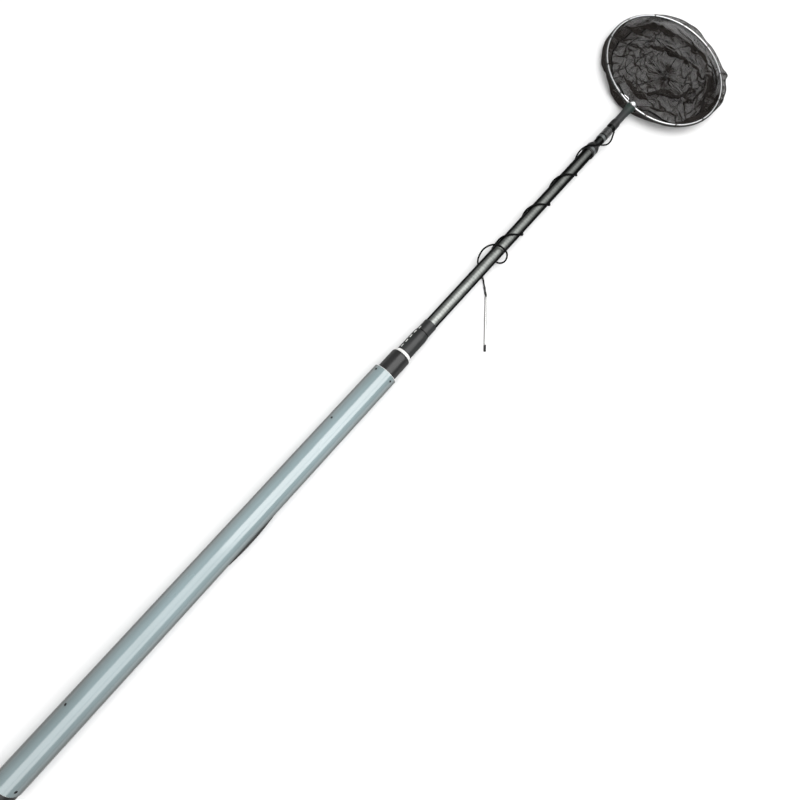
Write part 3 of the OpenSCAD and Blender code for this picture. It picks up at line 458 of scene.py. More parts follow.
def wound_carbon(name, dark, light, pitch, gloss, flecks):
    """Spirally wound carbon tube under lacquer: fine slanting bands that flicker in the highlight."""
    m = Shade(name)
    x, y, z = m.axes()
    turn = m.math("DIVIDE", m.math("ARCTAN2", z, y), TAU)
    wave = m.math("SINE", m.times(m.plus(m.math("DIVIDE", x, pitch), turn), TAU))
    back = m.math("SINE", m.times(m.minus(m.math("DIVIDE", x, pitch * 2.7), turn), TAU))
    patch = m.noise(95, 3, 0.6, (0.5, 1, 1))
    fleck = m.noise(620, 2, 0.7, (1, 0.3, 0.3))
    edge = m.facing(0.5)
    weave = m.plus(m.times(wave, 0.16), m.times(back, 0.10))
    share = m.plus(m.between(m.plus(weave, patch), 0.1, 1.0, 0.1, 0.8),
                   m.between(fleck, 0.5, 0.7, 0, flecks), clamp=True)
    base = m.mix(share, dark, light)
    # Painted shade: the wound tube darkens to near black towards its silhouette.
    base = m.mix(m.between(edge, 0.08, 0.42), base, srgb(10, 11, 10))
    rough = m.between(fleck, 0.35, 0.65, gloss * 0.8, gloss * 1.3)
    normal = m.bump(m.plus(weave, m.times(fleck, 0.5)), 0.00006, 0.3)
    return m.done(m.surface(Base_Color=base, Roughness=rough, Metallic=0.9, Normal=normal,
                            Specular_Tint=(0.12, 0.12, 0.12), Coat_Weight=m.between(edge, 0.1, 0.4, 0.5, 0.02),
                            Coat_IOR=1.6, Coat_Roughness=0.16, Coat_Normal=m.bump(wave, 0.00002, 0.2)))


def braided(name, dark, light, pitch):
    """Braided or laid cord: slanting strands with fine fibres."""
    m = Shade(name)
    u, v = m.axes(uv=True)[:2]
    slant = m.plus(m.math("DIVIDE", u, pitch), m.times(v, 3.0))
    other = m.minus(m.math("DIVIDE", u, pitch), m.times(v, 3.0))
    strands = m.math("MAXIMUM", m.math("SINE", m.times(slant, TAU)), m.math("SINE", m.times(other, TAU)))
    fibre = m.noise(2500, 2, 0.6)
    base = m.mix(m.between(m.plus(strands, fibre), 0.2, 1.7), dark, light)
    normal = m.bump(fibre, 0.00005, 0.6, m.bump(strands, 0.0002, 0.5))
    return m.done(m.surface(Base_Color=base, Roughness=0.75, Normal=normal, Specular_IOR_Level=0.2,
                            Sheen_Weight=0.04, Sheen_Roughness=0.5))


BOTTOM_U = 10.0          # the bottom's pattern starts this far from the wall's, in metres
COLLAR_DEPTH = 0.056     # the mesh is closer near the rim
SEAM_HALF = 2.0 * MM
GORES = 5                # panels of the bottom, with a seam between each two
CREASE_FROM = 0.06       # how sharply the mesh bends where its folds begin to close up and take painted shade
CREASE_FULL = 0.16


def net_cloth():
    """Fine black mesh with seams: square holes between round threads, closing up where it is seen at a slant."""
    cell, thread = 1.9 * MM, 0.39
    m = Shade("net_cloth")
    u, v = m.axes(uv=True)[:2]
    wall = m.math("LESS_THAN", u, BOTTOM_U / 2)
    collar = m.times(wall, m.math("LESS_THAN", v, COLLAR_DEPTH))
    hoop_seam = m.math("LESS_THAN", m.absolute(m.minus(v, COLLAR_DEPTH)), SEAM_HALF)
    hoop_seam = m.times(wall, hoop_seam)
    east = m.minus(u, BOTTOM_U)
    turn = m.math("ARCTAN2", v, east)
    radius = m.math("SQRT", m.plus(m.times(v, v), m.times(east, east)))
    gore = m.math("FRACT", m.plus(m.times(turn, GORES / TAU), 0.3))
    aside = m.times(m.absolute(m.minus(gore, 0.5)), m.times(radius, TAU / GORES))
    gore_seam = m.times(m.minus(1.0, wall), m.math("LESS_THAN", aside, SEAM_HALF * 0.7))
    seam = m.math("MAXIMUM", hoop_seam, gore_seam)
    cosine = m.minus(1.0, m.facing(0.5))
    width = m.math("DIVIDE", thread * 0.5, m.plus(m.times(cosine, 0.9), 0.1))
    width = m.times(width, m.plus(1.0, m.times(collar, 0.35)))
    masks = []
    for axis in (u, v):
        place = m.math("FRACT", m.math("DIVIDE", axis, cell))
        masks.append(m.absolute(m.minus(place, 0.5)))
    nearest = m.math("MAXIMUM", masks[0], masks[1])
    bend = m.absolute(m.minus(m.add("ShaderNodeNewGeometry", {}, out="Pointiness"), 0.5))
    crease = m.between(bend, CREASE_FROM, CREASE_FULL)
    opaque = m.math("GREATER_THAN", m.plus(nearest, m.times(crease, 0.3)), m.minus(0.5, width))
    opaque = m.math("MAXIMUM", opaque, seam)
    tone = m.noise(90, 3, 0.6, uv=True)
    twist = m.noise(3500, 2, 0.6, uv=True)
    base = m.mix(m.between(m.plus(tone, m.times(twist, 0.6)), 0.5, 1.1),
                 (0.006, 0.0052, 0.0047), (0.022, 0.0185, 0.016))
    # Painted shade along the creases of the folds; the seams are dark thread.
    base = m.mix(m.math("MAXIMUM", crease, seam), base, (0.004, 0.004, 0.004))
    relief = m.bump(m.times(m.minus(0.5, nearest), -1.0), 0.0005, 0.8, m.bump(twist, 0.00006, 0.5))
    thread_look = m.surface(Base_Color=base, Roughness=0.75, Normal=relief, Specular_IOR_Level=0.08)
    hole = m.add("ShaderNodeBsdfTransparent", {})
    return m.done(m.add("ShaderNodeMixShader", {0: opaque, 1: hole, 2: thread_look}))


def cell_label():
    """Shrink sleeve of a battery cell: one colour with faint bands and glossy creases."""
    m = Shade("cell_wrap")
    x = m.axes()[0]
    bands = m.math("FRACT", m.math("DIVIDE", x, 66.6 * MM))
    base = m.mix(m.between(bands, 0.86, 0.88), srgb(42, 128, 104), srgb(214, 216, 205))
    base = m.mix(m.between(m.noise(70, 3, 0.6), 0.4, 0.7, 0, 0.3), base, srgb(24, 84, 70))
    return m.done(m.surface(Base_Color=base, Roughness=m.between(m.noise(50), 0.3, 0.7, 0.2, 0.35),
                            Normal=m.bump(m.noise(300, 3), 0.0001, 0.3)))


def circuit_green():
    """Solder mask over copper: darker ground with lighter tracks."""
    m = Shade("circuit_green")
    tracks = m.cells(160, (1, 1.6, 1), feature="DISTANCE_TO_EDGE")
    base = m.mix(m.between(tracks, 0.03, 0.06), srgb(34, 112, 60), srgb(14, 74, 38))
    dots = m.between(m.cells(420), 0.18, 0.22, 1, 0)
    base = m.mix(m.times(dots, m.between(m.noise(40), 0.5, 0.55)), base, srgb(196, 170, 96))
    return m.done(m.surface(Base_Color=base, Roughness=m.between(m.noise(90), 0.3, 0.7, 0.3, 0.42),
                            Normal=m.bump(m.between(tracks, 0.03, 0.06, 1, 0), 0.0001, 0.5)))


def tape_finish():
    """Stretched black vinyl tape: glossy, with slight cross creases and an uneven tone."""
    m = Shade("vinyl_tape")
    creases = m.noise(420, 3, 0.6, (0.25, 1, 1))
    tone = m.noise(60, 3, 0.6)
    base = m.mix(m.between(tone, 0.35, 0.7), srgb(8, 9, 9), srgb(30, 33, 33))
    return m.done(m.surface(Base_Color=base, Roughness=m.between(tone, 0.3, 0.7, 0.22, 0.36),
                            Normal=m.bump(creases, 0.0003, 0.35), Coat_Weight=0.4, Coat_Roughness=0.2))


def soft_neck():
    """Rubber that turns from grey to grey-green towards the hoop, with fine mould lines round it."""
    m = Shade("neck_rubber")
    x = m.axes()[0]
    tone = m.noise(45, 4, 0.6)
    low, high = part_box("neck")
    along = m.between(x, mix(low.x, high.x, 0.35), mix(low.x, high.x, 0.75))
    base = m.mix(along, srgb(34, 35, 37), srgb(28, 43, 38))
    base = m.mix(m.between(tone, 0.35, 0.7, 0, 0.5), base, srgb(20, 25, 24))
    lines = m.math("SINE", m.times(x, TAU / (1.6 * MM)))
    normal = m.bump(lines, 0.00004, 0.25, m.bump(m.noise(800, 2), 0.00006, 0.5))
    return m.done(m.surface(Base_Color=base, Roughness=m.between(tone, 0.3, 0.7, 0.34, 0.46), Normal=normal,
                            Specular_IOR_Level=0.3, Coat_Weight=0.15, Coat_Roughness=0.25))


def studio_floor_look():
    """Matt pale floor with a faintly uneven tone."""
    m = Shade("studio_floor")
    tone = m.noise(3, 3, 0.5)
    base = m.mix(tone, (0.80, 0.80, 0.80), (0.84, 0.84, 0.84))
    return m.done(m.surface(Base_Color=base, Roughness=0.7, Normal=m.bump(m.noise(300, 2), 0.0002, 0.1)))


MATERIALS = {
    "tube_plastic": pale_pipe(),
    "black_gloss": moulded("black_gloss", srgb(12, 13, 13), 0.32, 1200, 0.00003, 0.35, srgb(60, 60, 58), 0.12),
    "black_matte": moulded("black_matte", srgb(16, 17, 18), 0.42, worn=srgb(70, 70, 70)),
    "black_rubber": moulded("black_rubber", srgb(30, 30, 30), 0.6, 700, 0.0001),
    "white_plastic": moulded("white_plastic", srgb(243, 243, 240), 0.3, 900, 0.00005, 0.2,
                             srgb(196, 192, 184), 0.25),
    "sleeve_black": sleeve_finish(),
    "carbon": wound_carbon("carbon_wound", srgb(104, 107, 104), srgb(186, 190, 186), 3.2 * MM, 0.36, 0.35),
    "upper_carbon": wound_carbon("carbon_upper", srgb(44, 47, 46), srgb(104, 108, 106), 5.5 * MM, 0.3, 0.2),
    "cable_black": moulded("cable_black", srgb(6, 7, 7), 0.55, 1500, 0.00004, 0.0, srgb(20, 21, 20), 0.1, 0.08),
    "screw_black": metal("screw_black", (0.035, 0.035, 0.036), 0.35),
    "steel": metal("steel_bright", (0.86, 0.87, 0.88), 0.16, (0.01, 1, 1), uv=True),
    "aluminium": metal("aluminium_turned", (0.75, 0.76, 0.78), 0.3, (1, 0.02, 0.02)),
    "grey_band": metal("band_grey", (0.16, 0.17, 0.17), 0.38, (1, 0.05, 0.05)),
    "neck_rubber": soft_neck(),
    "net_mesh": net_cloth(),
    "cord_black": braided("cord_black", (0.006, 0.006, 0.006), (0.05, 0.05, 0.048), 2.2 * MM),
    "nylon": moulded("nylon_natural", srgb(226, 222, 208), 0.45, 700, 0.00006, 0.0, srgb(190, 180, 160), 0.2),
    "cell_wrap": cell_label(),
    "film_blue": moulded("film_blue", srgb(38, 74, 150), 0.25, 260, 0.0002, 0.3, srgb(120, 150, 200), 0.25),
    "nickel": metal("nickel_strip", (0.72, 0.71, 0.68), 0.28),
    "board_green": circuit_green(),
    "board_dark": moulded("board_parts_dark", srgb(36, 37, 40), 0.4, 600, 0.00008),
    "lead_red": moulded("lead_red", srgb(168, 26, 22), 0.4, 1500, 0.00004),
    "rocker_red": moulded("rocker_red", srgb(150, 20, 16), 0.28, 1200, 0.00003, 0.4, srgb(200, 90, 80), 0.1),
}
TAPE = tape_finish()
# The rod's rim colour is painted shade and a painted dark reflection towards its silhouette.
ROD_STEEL = metal("steel_rod", (0.86, 0.86, 0.85), 0.2, (0.01, 1, 1), uv=True, rim=(0.06, 0.055, 0.05))
THREAD = braided("tie_thread", (0.008, 0.008, 0.008), (0.045, 0.045, 0.043), 1.2 * MM)


def dress(obj, material):
    obj.data.materials.clear()
    obj.data.materials.append(material)


def seat(obj, body, slot, *nodes, material=None):
    """Give a piece the material of its slot or the one given, put it under its body, and hide the CAD nodes that
    it stands for.
    """
    dress(obj, material or MATERIALS[slot])
    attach(obj, body)
    if nodes:
        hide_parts(*nodes)


def dress_frame():
    """Every CAD node gets the material of its slot in the record."""
    for part in frame["record"]["subparts"]:
        dress(frame["nodes"][part["node"]], MATERIALS[part["material_slot"]])


# ---- Leads and the trailing probe ------------------------------------------------------------

LEAD_SWELL = 1.12     # the lead's jacket swells a little outside the pole


def wound_lead():
    """The lead from inside the pole, out of its hole, once loosely round and up in turns to the ferrule."""
    inside = [(-32, 140, 7.5), (90, 140, 7.5), (290, 140, 7.5), (360, 140, 7.5), (380, 148, 7.5),
              (387, 168, 7.8), (391.4, 179, 10), (392, 180, 12.5), (392, 180, 15), (392, 180, 17.5),
              (391.6, 184, 20.3)]
    slack = [(390, 204, 23), (390.5, 226, 24.4), (401, 264, 27.7), (417, 288, 31.6), (433, 312, 29.7),
             (443, 336, 24.5), (448, 376, 21.8), (449.5, 408, 24.1), (447, 435, 27.9), (440, 459, 30.9),
             (434, 482, 29.4), (431, 510, 24), (434, 554, 20.3), (447, 599, 18.9)]
    wound = []
    for i in range(26):
        n = -0.25 + 0.125 * i
        wound.append((499 + 121 * n + 2 * n * n, 720 + 360 * n,
                      mix(18.4, 20.8, min(max((n - 2.3) / 0.45, 0), 1))))
    bight = [(876, 1800, 20.8), (889, 1820, 20.3), (900, 1843, 15.9), (907, 1864, 14.3), (914, 1886, 14.5),
             (921, 1895, 18), (931, 1898, 23), (942, 1899, 24.5), (953, 1899, 23.4), (963, 1898, 19.5),
             (971, 1896, 16), (977.5, 1895, 13.9)]
    path = [polar(*p) for p in curve(inside + slack + wound + bight, 7)]
    lead = sweep("wound_lead", path, lambda run: LEAD_R * mix(1, LEAD_SWELL, smooth((run - 0.43) / 0.02)),
                 sides=14)
    dress(lead, MATERIALS["cable_black"])
    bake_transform(lead)
    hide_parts("coil_cable", "lead_loop")


PROBE_EXIT = Vector((RIM_X + 0.372, 0, 0))
PROBE_HEADING = math.radians(241)
PROBE_REACH = 64 * MM
ROD_HEADING = math.radians(218)
ROD_DIR = Vector((cos(ROD_HEADING), sin(ROD_HEADING), 0))
ROD_Z = FLOOR_Z + 3.1 * MM
ROD_START = PROBE_EXIT + Vector((PROBE_REACH * cos(PROBE_HEADING), PROBE_REACH * sin(PROBE_HEADING),
                                 ROD_Z))


def probe_lead():
    """The probe's lead: down out of the pole and along the floor."""
    low = (FLOOR_Z + LEAD_R) / MM + 0.2
    drop = [(0, 0, -10.9), (0, 0, -14), (0, 0, -19), (1, -1.2, -22.5), (3, -4.5, -25.7), (5, -10, -27.9),
            (3, -18, low), (-4, -26.5, low), (-14, -38, low), (-23, -48, low)]
    knots = [PROBE_EXIT + Vector(d) * MM for d in drop]
    knots += [ROD_START - ROD_DIR * 4 * MM, ROD_START - ROD_DIR * 0.3 * MM]
    lead = sweep("probe_cable", curve(knots, 7), LEAD_R, sides=12)
    seat(lead, "trailing_probe", "cable_black", "probe_lead")
    cover = sweep("probe_shrink", curve(knots, 9)[-30:],
                  lambda run: LEAD_R + (0.6 + 0.25 * sin(run * 420)) * MM, sides=14)
    seat(cover, "trailing_probe", "sleeve_black")


def probe_rod():
    """The bare rod with a crimped ferrule, and its insulated tip."""
    ferrule = [(0, 1.6), (0, 2.7), (0.4, 3.0), (2.0, 3.0), (2.3, 2.6), (2.9, 2.6), (3.2, 3.0), (5.0, 3.0),
               (5.3, 2.6), (5.9, 2.6), (6.2, 3.0), (8.6, 3.0), (9.0, 2.65)]
    rod = lathe("probe_rod_bright", ferrule + [(9.4, 2.6), (70, 2.6), (129.6, 2.6), (130, 2.3)],
                ROD_START, ROD_DIR)
    tip = lathe("probe_tip_cap", [(130.05, 1.2), (130.05, 2.7), (130.4, 3.0), (134, 3.0), (134.3, 2.75),
                                  (134.9, 2.75), (135.2, 3.0), (145, 3.0), (146.6, 2.6), (147.6, 1.7),
                                  (148.05, 0.6)], ROD_START, ROD_DIR)
    for piece in (rod, tip):
        bevel = piece.modifiers.new("Bevel", "BEVEL")
        bevel.width, bevel.segments = 0.15 * MM, 2
    seat(rod, "trailing_probe", "steel", "probe_rod", material=ROD_STEEL)
    seat(tip, "trailing_probe", "black_matte", "probe_tip")


# ---- The hoop and what is bound to it --------------------------------------------------------

HUMP_R = 7.3 * MM
HUMP_HALF = 110       # degrees that the hump goes round the spool to each side
HOOP_OPEN = 8         # degrees of the ellipse that it takes up on each side


def hoop_wire():
    """The bright wire: an ellipse broken at the rear by a hump round the stud's spool."""
    steps = 180
    path = [hoop_point(-180 + HOOP_OPEN + (360 - 2 * HOOP_OPEN) * i / steps) for i in range(steps + 1)]
    path.append(Vector((SPOOL_X - 3.6 * MM, 12 * MM, 0)))
    for i in range(15):
        turn = math.radians(HUMP_HALF - 2 * HUMP_HALF * i / 14)
        path.append(Vector((SPOOL_X + HUMP_R * cos(turn), HUMP_R * sin(turn), 0)))
    path.append(Vector((SPOOL_X - 3.6 * MM, -12 * MM, 0)))
    wire = sweep("hoop_wire", curve(path, 3, closed=True), WIRE_R, closed=True, sides=16)
    seat(wire, "net_head", "steel", "hoop")


def hoop_lashing():
    """Fine bright wire wound round the hoop on both sides of the hump, and the wire's short free end."""
    parts = []
    for side in (-1, 1):
        centre = Vector((SPOOL_X - 3.3 * MM, side * 15.2 * MM, 0))
        ahead = Vector((side * sin(math.radians(5.5)), cos(math.radians(5.5)), 0))
        out = Vector((ahead.y, -ahead.x, 0))
        path = []
        turns, steps, pitch = 5, 20, 0.72 * MM
        for i in range(turns * steps + 1):
            turn = TAU * i / steps
            r = WIRE_R + 0.36 * MM
            path.append(centre + ahead * (pitch * (i / steps - turns / 2)) + out * (r * cos(turn))
                        + Vector((0, 0, r * sin(turn))))
        parts.append(sweep_data(path, 0.35 * MM, sides=8))
    free_end = [(0.4, 17.5, 1.2), (3.1, 20, 2.4), (3.4, 24, 2.8), (3.3, 29, 2.8), (3.4, 34, 2.6), (4.0, 37, 2.2)]
    knots = [Vector((SPOOL_X + x * MM, y * MM, z * MM)) for x, y, z in free_end]
    parts.append(sweep_data(curve(knots, 5), 1.3 * MM, sides=10))
    seat(make_object("hoop_lashing", *join_data(parts)), "net_head", "steel", "hoop_lashings")


CORD_GAP = 9          # degrees on each side of the neck that have no cord


def cord_path(steps=420):
    """The rim cord's line, open at the neck."""
    return [hoop_point(-180 + CORD_GAP + (360 - 2 * CORD_GAP) * i / steps, CORD_OUT, -CORD_DROP)
            for i in range(steps + 1)]


def rim_cord():
    """The laid cord outside the wire that the bag hangs from."""
    cord = sweep("rim_rope", cord_path(1100), CORD_R * 1.04, sides=18, strands=3, lay=7 * MM, groove=0.22)
    seat(cord, "net_head", "cord_black", "rim_cord")


def rim_ties():
    """Four turns of thread and a small knot with two ends, at twelve places round the hoop."""
    rng = random.Random(11)
    parts = []
    thread = 0.45 * MM
    for k in range(12):
        angle = (k + 0.5) * 30
        parts.append(sweep_data(wrap_path(angle, 4, 0.85 * MM, thread, CORD_OUT, CORD_DROP), thread, sides=7))
        top = hoop_point(angle, 1.2 * MM, WIRE_R + 1.1 * MM)
        ahead = (hoop_point(angle + 1) - hoop_point(angle - 1)).normalized()
        out = (hoop_point(angle, 1.0) - hoop_point(angle)).normalized()
        ring = [top + ahead * (1.0 * MM * cos(t)) + out * (0.8 * MM * sin(t))
                + Vector((0, 0, 0.25 * MM * sin(2 * t)))
                for t in [TAU * i / 16 for i in range(16)]]
        parts.append(sweep_data(ring, thread, closed=True, sides=7))
        for side in (-1, 1):
            lean = rng.uniform(0.2, 0.9)
            end = [top + ahead * (side * 0.8 * MM)]
            for i in range(1, 5):
                end.append(top + ahead * (side * (0.8 + 1.3 * i) * MM)
                           + out * (lean * 1.2 * i * MM * rng.uniform(0.8, 1.2))
                           + Vector((0, 0, (0.5 - 0.35 * i * lean) * MM)))
            parts.append(sweep_data(curve(end, 4), thread * 0.9, sides=7))
    seat(make_object("rim_tie_threads", *join_data(parts)), "net_head", "cord_black", "rim_ties", material=THREAD)


def hem_stitching():
    """Overcast thread that holds the mesh's edge on the cord."""
    pitch, r = 6 * MM, CORD_R + 0.5 * MM
    path = []
    base = cord_path(1700)
    for p, d, s, run in zip(base, *path_frames(base, False)):
        turn = TAU * run / pitch
        path.append(p + s * (r * cos(turn)) + d.cross(s) * (r * 1.15 * sin(turn)))
    seat(sweep("hem_stitching", path, 0.38 * MM, sides=6), "net_head", "cord_black", material=THREAD)


# Loose hem beyond the cord, as (angle round the hoop in degrees, reach out, height) in mm.
LOOSE_HEM = [(46, 4.2, -1.5), (36, 6.5, 1.5), (26, 9.5, 2.5), (17, 12.5, 3.0), (10, 14.5, 2.0), (4, 15.0, 3.5),
             (-2, 11.0, 4.0), (-9, 8.0, 2.0), (-17, 8.5, 3.0), (-25, 10.0, 2.0), (-33, 8.5, 3.0), (-40, 11.5, 2.5),
             (-45, 18.5, 4.0), (-48, 20.0, 4.5), (-51, 14.5, 2.5), (-56, 12.0, 3.5), (-62, 14.5, 3.0),
             (-69, 13.0, 1.5), (-76, 12.0, 3.0), (-83, 8.0, 1.0), (-91, 4.2, -1.5)]


def loose_hem():
    """The mesh's slack edge beyond the cord on the hoop's far side, on its gathered thread."""
    outer = curve([hoop_point(angle, out * MM, up * MM) for angle, out, up in LOOSE_HEM], 14)
    runs = path_frames(outer, False)[2]
    across, row = 5, 2.2 * MM
    points, faces, uvs = [], [], []
    for i, edge in enumerate(outer):
        spot = edge - Vector((HOOP_X, 0, 0))
        angle = math.degrees(math.atan2(spot.y / HOOP_B, spot.x / HOOP_A))
        inner = hoop_point(angle, CORD_OUT + 0.4 * MM, CORD_R - CORD_DROP)
        for k in range(across + 1):
            f = k / across
            wave = sin(runs[i] / (4.2 * MM) + 2.2 * noise.noise(edge * 60))
            ripple = wave * 1.3 * MM * sin(math.pi * f)
            p = inner.lerp(edge, f)
            points.append((p.x, p.y, p.z + ripple))
    for i in range(len(outer) - 1):
        for k in range(across):
            a = i * (across + 1) + k
            faces.append((a, a + 1, a + across + 2, a + across + 1))
            for j, m in ((i, k), (i, k + 1), (i + 1, k + 1), (i + 1, k)):
                uvs.append((runs[j], m * row))
    seat(make_object("loose_hem", points, faces, uvs), "net_head", "net_mesh")
    edge_cord = sweep("loose_hem_thread", outer,
                      lambda at: (0.8 + 0.55 * abs(noise.noise(Vector((at * 40, 0, 0))))) * MM,
                      sides=10, strands=3, lay=5 * MM, groove=0.2)
    seat(edge_cord, "net_head", "cord_black")


def tape_wrap():
    """Tape wound in slanting, overlapping turns below the neck."""
    low, high = TAPE_LOW.x, TAPE_HIGH.x
    pitch = 7.5 * MM
    inner = UPPER_R + 0.05 * MM
    around, along = 64, 90
    points, faces, uvs = [], [], []
    for i in range(along + 1):
        x = mix(low, high, i / along)
        for k in range(around):
            turn = TAU * k / around
            f = ((x - low) / pitch - k / around) % 1.0
            edge = smooth(f / 0.10) * smooth((1 - f) / 0.30)
            ends = min(1.0, i / 2, (along - i) / 2)
            ripple = noise.noise(Vector((x * 260, cos(turn) * 2.2, sin(turn) * 2.2)))
            r = inner + (0.75 + 1.0 * edge * ends + 0.22 * ripple) * MM
            points.append((x, r * sin(turn), r * cos(turn)))
    for x in (high, low):
        for k in range(around):
            turn = TAU * k / around
            points.append((x, inner * sin(turn), inner * cos(turn)))
    rings = along + 3
    for i in range(rings):
        j = (i + 1) % rings
        for k in range(around):
            m = (k + 1) % around
            faces.append((i * around + k, j * around + k, j * around + m, i * around + m))
    seat(make_object("tape_wrap", points, faces), "upper_section", "black_gloss", "tape_band", material=TAPE)


# ---- The mesh bag ----------------------------------------------------------------------------

BAG_SIDES = 150
BAG_STEP = 7.2 * MM       # from one ring of points to the next
BAG_DEPTH = 0.20
BAG_WALL = 0.72           # share of the depth that is side wall
BAG_SEED = 8
TUCK_ANGLE = -125         # middle of the side where the mesh lies tucked under the hoop, in degrees
TUCK_HALF = 72            # how far that goes on to each side
TUCK_SHARE = 0.13         # how much the bag is drawn in there
RIM_OUT = CORD_OUT + 1.5 * MM
NECK_DIP_W = 34 * MM      # the mesh dips below the neck over this half width
NECK_DIP_Z = -19 * MM
TOE = Vector(((KNOT_LOW.x + KNOT_HIGH.x) / 2, (KNOT_LOW.y + KNOT_HIGH.y) / 2, FLOOR_Z + 3.5 * MM))
FENCE_OUT = 21 * MM       # how far the mesh may bulge beyond the wire near the floor
FENCE_MIN = 10 * MM       # and near the rim
TUCK_IN = 10 * MM         # how far inside the wire it is held where it lies tucked
LID_Z = 7 * MM            # height that it may not pass
SETTLE_FRAMES = 62
LAND_FRAME = 44           # when the rising floor and the toe reach their places


def bag_profile():
    """Rows from the rim to the toe as (share of the rim's size, depth below the hoop)."""
    wall = BAG_DEPTH * BAG_WALL
    count = int(wall / BAG_STEP)
    rows = []
    for i in range(count + 1):
        s = i / count
        rows.append((1 + 0.05 * sin(math.pi * min(1, s * 1.15)) - 0.10 * s * s, -CORD_DROP - wall * s))
    share, z = rows[-1]
    count = int(share * HOOP_B / BAG_STEP)
    for i in range(1, count):
        s = i / count
        rows.append((share * (1 - s), z - (BAG_DEPTH - wall) * sin(s * math.pi / 2)))
    return rows


def tuck(angle):
    """How far the mesh lies tucked under the hoop at an angle in degrees, from 0 to 1."""
    off = abs((angle - TUCK_ANGLE + 180) % 360 - 180)
    return smooth(1 - off / TUCK_HALF)


def bag_mesh():
    """The bag as it hangs free: a side wall and a round bottom, slightly uneven."""
    rows = bag_profile()
    points = []
    for j, (share, z) in enumerate(rows):
        for k in range(BAG_SIDES):
            turn = TAU * k / BAG_SIDES
            lean = 1 - TUCK_SHARE * tuck(360 * k / BAG_SIDES) * min(1, j / 4)
            x = (HOOP_A + RIM_OUT) * share * lean * cos(turn)
            y = (HOOP_B + RIM_OUT) * share * lean * sin(turn)
            if j:
                uneven = noise.noise(Vector((x * 9, y * 9, z * 9 + BAG_SEED))) * 0.010 * min(1, j / 6)
                x += uneven * cos(turn)
                y += uneven * sin(turn)
            dip = max(0.0, 1 - (y / NECK_DIP_W) ** 2) ** 2 if cos(turn) < 0 else 0.0
            points.append((HOOP_X + x, y, min(z, NECK_DIP_Z * dip)))
    points.append((HOOP_X, 0, -CORD_DROP - BAG_DEPTH))
    wall_rows = int(BAG_DEPTH * BAG_WALL / BAG_STEP)
    faces, uvs = [], []
    around = TAU * HOOP_B

    def uv(j, k, bottom):
        if bottom:
            r = (len(rows) - j) * BAG_STEP
            turn = TAU * k / BAG_SIDES
            return BOTTOM_U + r * cos(turn), r * sin(turn)
        return around * k / BAG_SIDES, j * BAG_STEP

    for j in range(len(rows) - 1):
        bottom = j >= wall_rows
        for k in range(BAG_SIDES):
            m = (k + 1) % BAG_SIDES
            faces.append((j * BAG_SIDES + k, (j + 1) * BAG_SIDES + k,
                          (j + 1) * BAG_SIDES + m, j * BAG_SIDES + m))
            uvs += [uv(j, k, bottom), uv(j + 1, k, bottom), uv(j + 1, k + 1, bottom), uv(j, k + 1, bottom)]
    last = len(rows) - 1
    for k in range(BAG_SIDES):
        m = (k + 1) % BAG_SIDES
        faces.append((last * BAG_SIDES + k, len(points) - 1, last * BAG_SIDES + m))
        uvs += [uv(last, k, True), (BOTTOM_U, 0.0), uv(last, k + 1, True)]
    return make_object("net_bag_mesh", points, faces, uvs), len(rows)


def collider(obj, gap_mm=1.0, friction=4.0):
    """Let the cloth collide with a prop."""
    obj.modifiers.new("Collision", "COLLISION")
    obj.collision.thickness_outer = gap_mm * MM
    obj.collision.cloth_friction = friction
    obj.collision.damping = 0.6
    obj.collision.use_culling = False
    return obj


def sheet(name, half, z):
    """A level square centred below the hoop."""
    corners = [(HOOP_X + sx * half, sy * half, z) for sx, sy in ((-1, -1), (1, -1), (1, 1), (-1, 1))]
    return make_object(name, corners, [(0, 1, 2, 3)])


def settle_props():
    """What the bag meets while it settles: a floor that rises, a fence, the hoop, the neck and a lid."""
    rising = sheet("rising_floor", 0.8, 0.0)
    collider(rising, 2.0, 8.0)
    for at, z in ((1, FLOOR_Z - BAG_DEPTH + 2 * CORD_DROP), (LAND_FRAME, FLOOR_Z - 1.2 * MM)):
        rising.location.z = z
        rising.keyframe_insert("location", frame=at)
    fence_points = []
    for z, tucked in ((-0.25, -TUCK_IN), (-0.026, -TUCK_IN), (-0.006, FENCE_MIN), (0.03, FENCE_MIN)):
        fence_points += [hoop_point(360 * k / 96, mix(FENCE_OUT, tucked, tuck(360 * k / 96)), z)
                         for k in range(96)]
    fence = make_object("fence", fence_points,
                        [(r + k, r + (k + 1) % 96, r + 96 + (k + 1) % 96, r + 96 + k)
                         for r in (0, 96, 192) for k in range(96)])
    collider(fence, 2.0, 2.0)
    hoop = sweep("hoop_proxy", [hoop_point(360 * k / 96) for k in range(96)], WIRE_R * 1.3, closed=True, sides=6)
    collider(hoop)
    neck_path = [Vector((HOOP_X - HOOP_A - d * MM, 0, 0)) for d in (90, 60, 30, 0)]
    neck = sweep("neck_proxy", neck_path, 15 * MM, sides=20)
    collider(neck)
    lid = sheet("lid", 0.3, LID_Z)
    collider(lid)
    return [rising, fence, hoop, neck, lid]


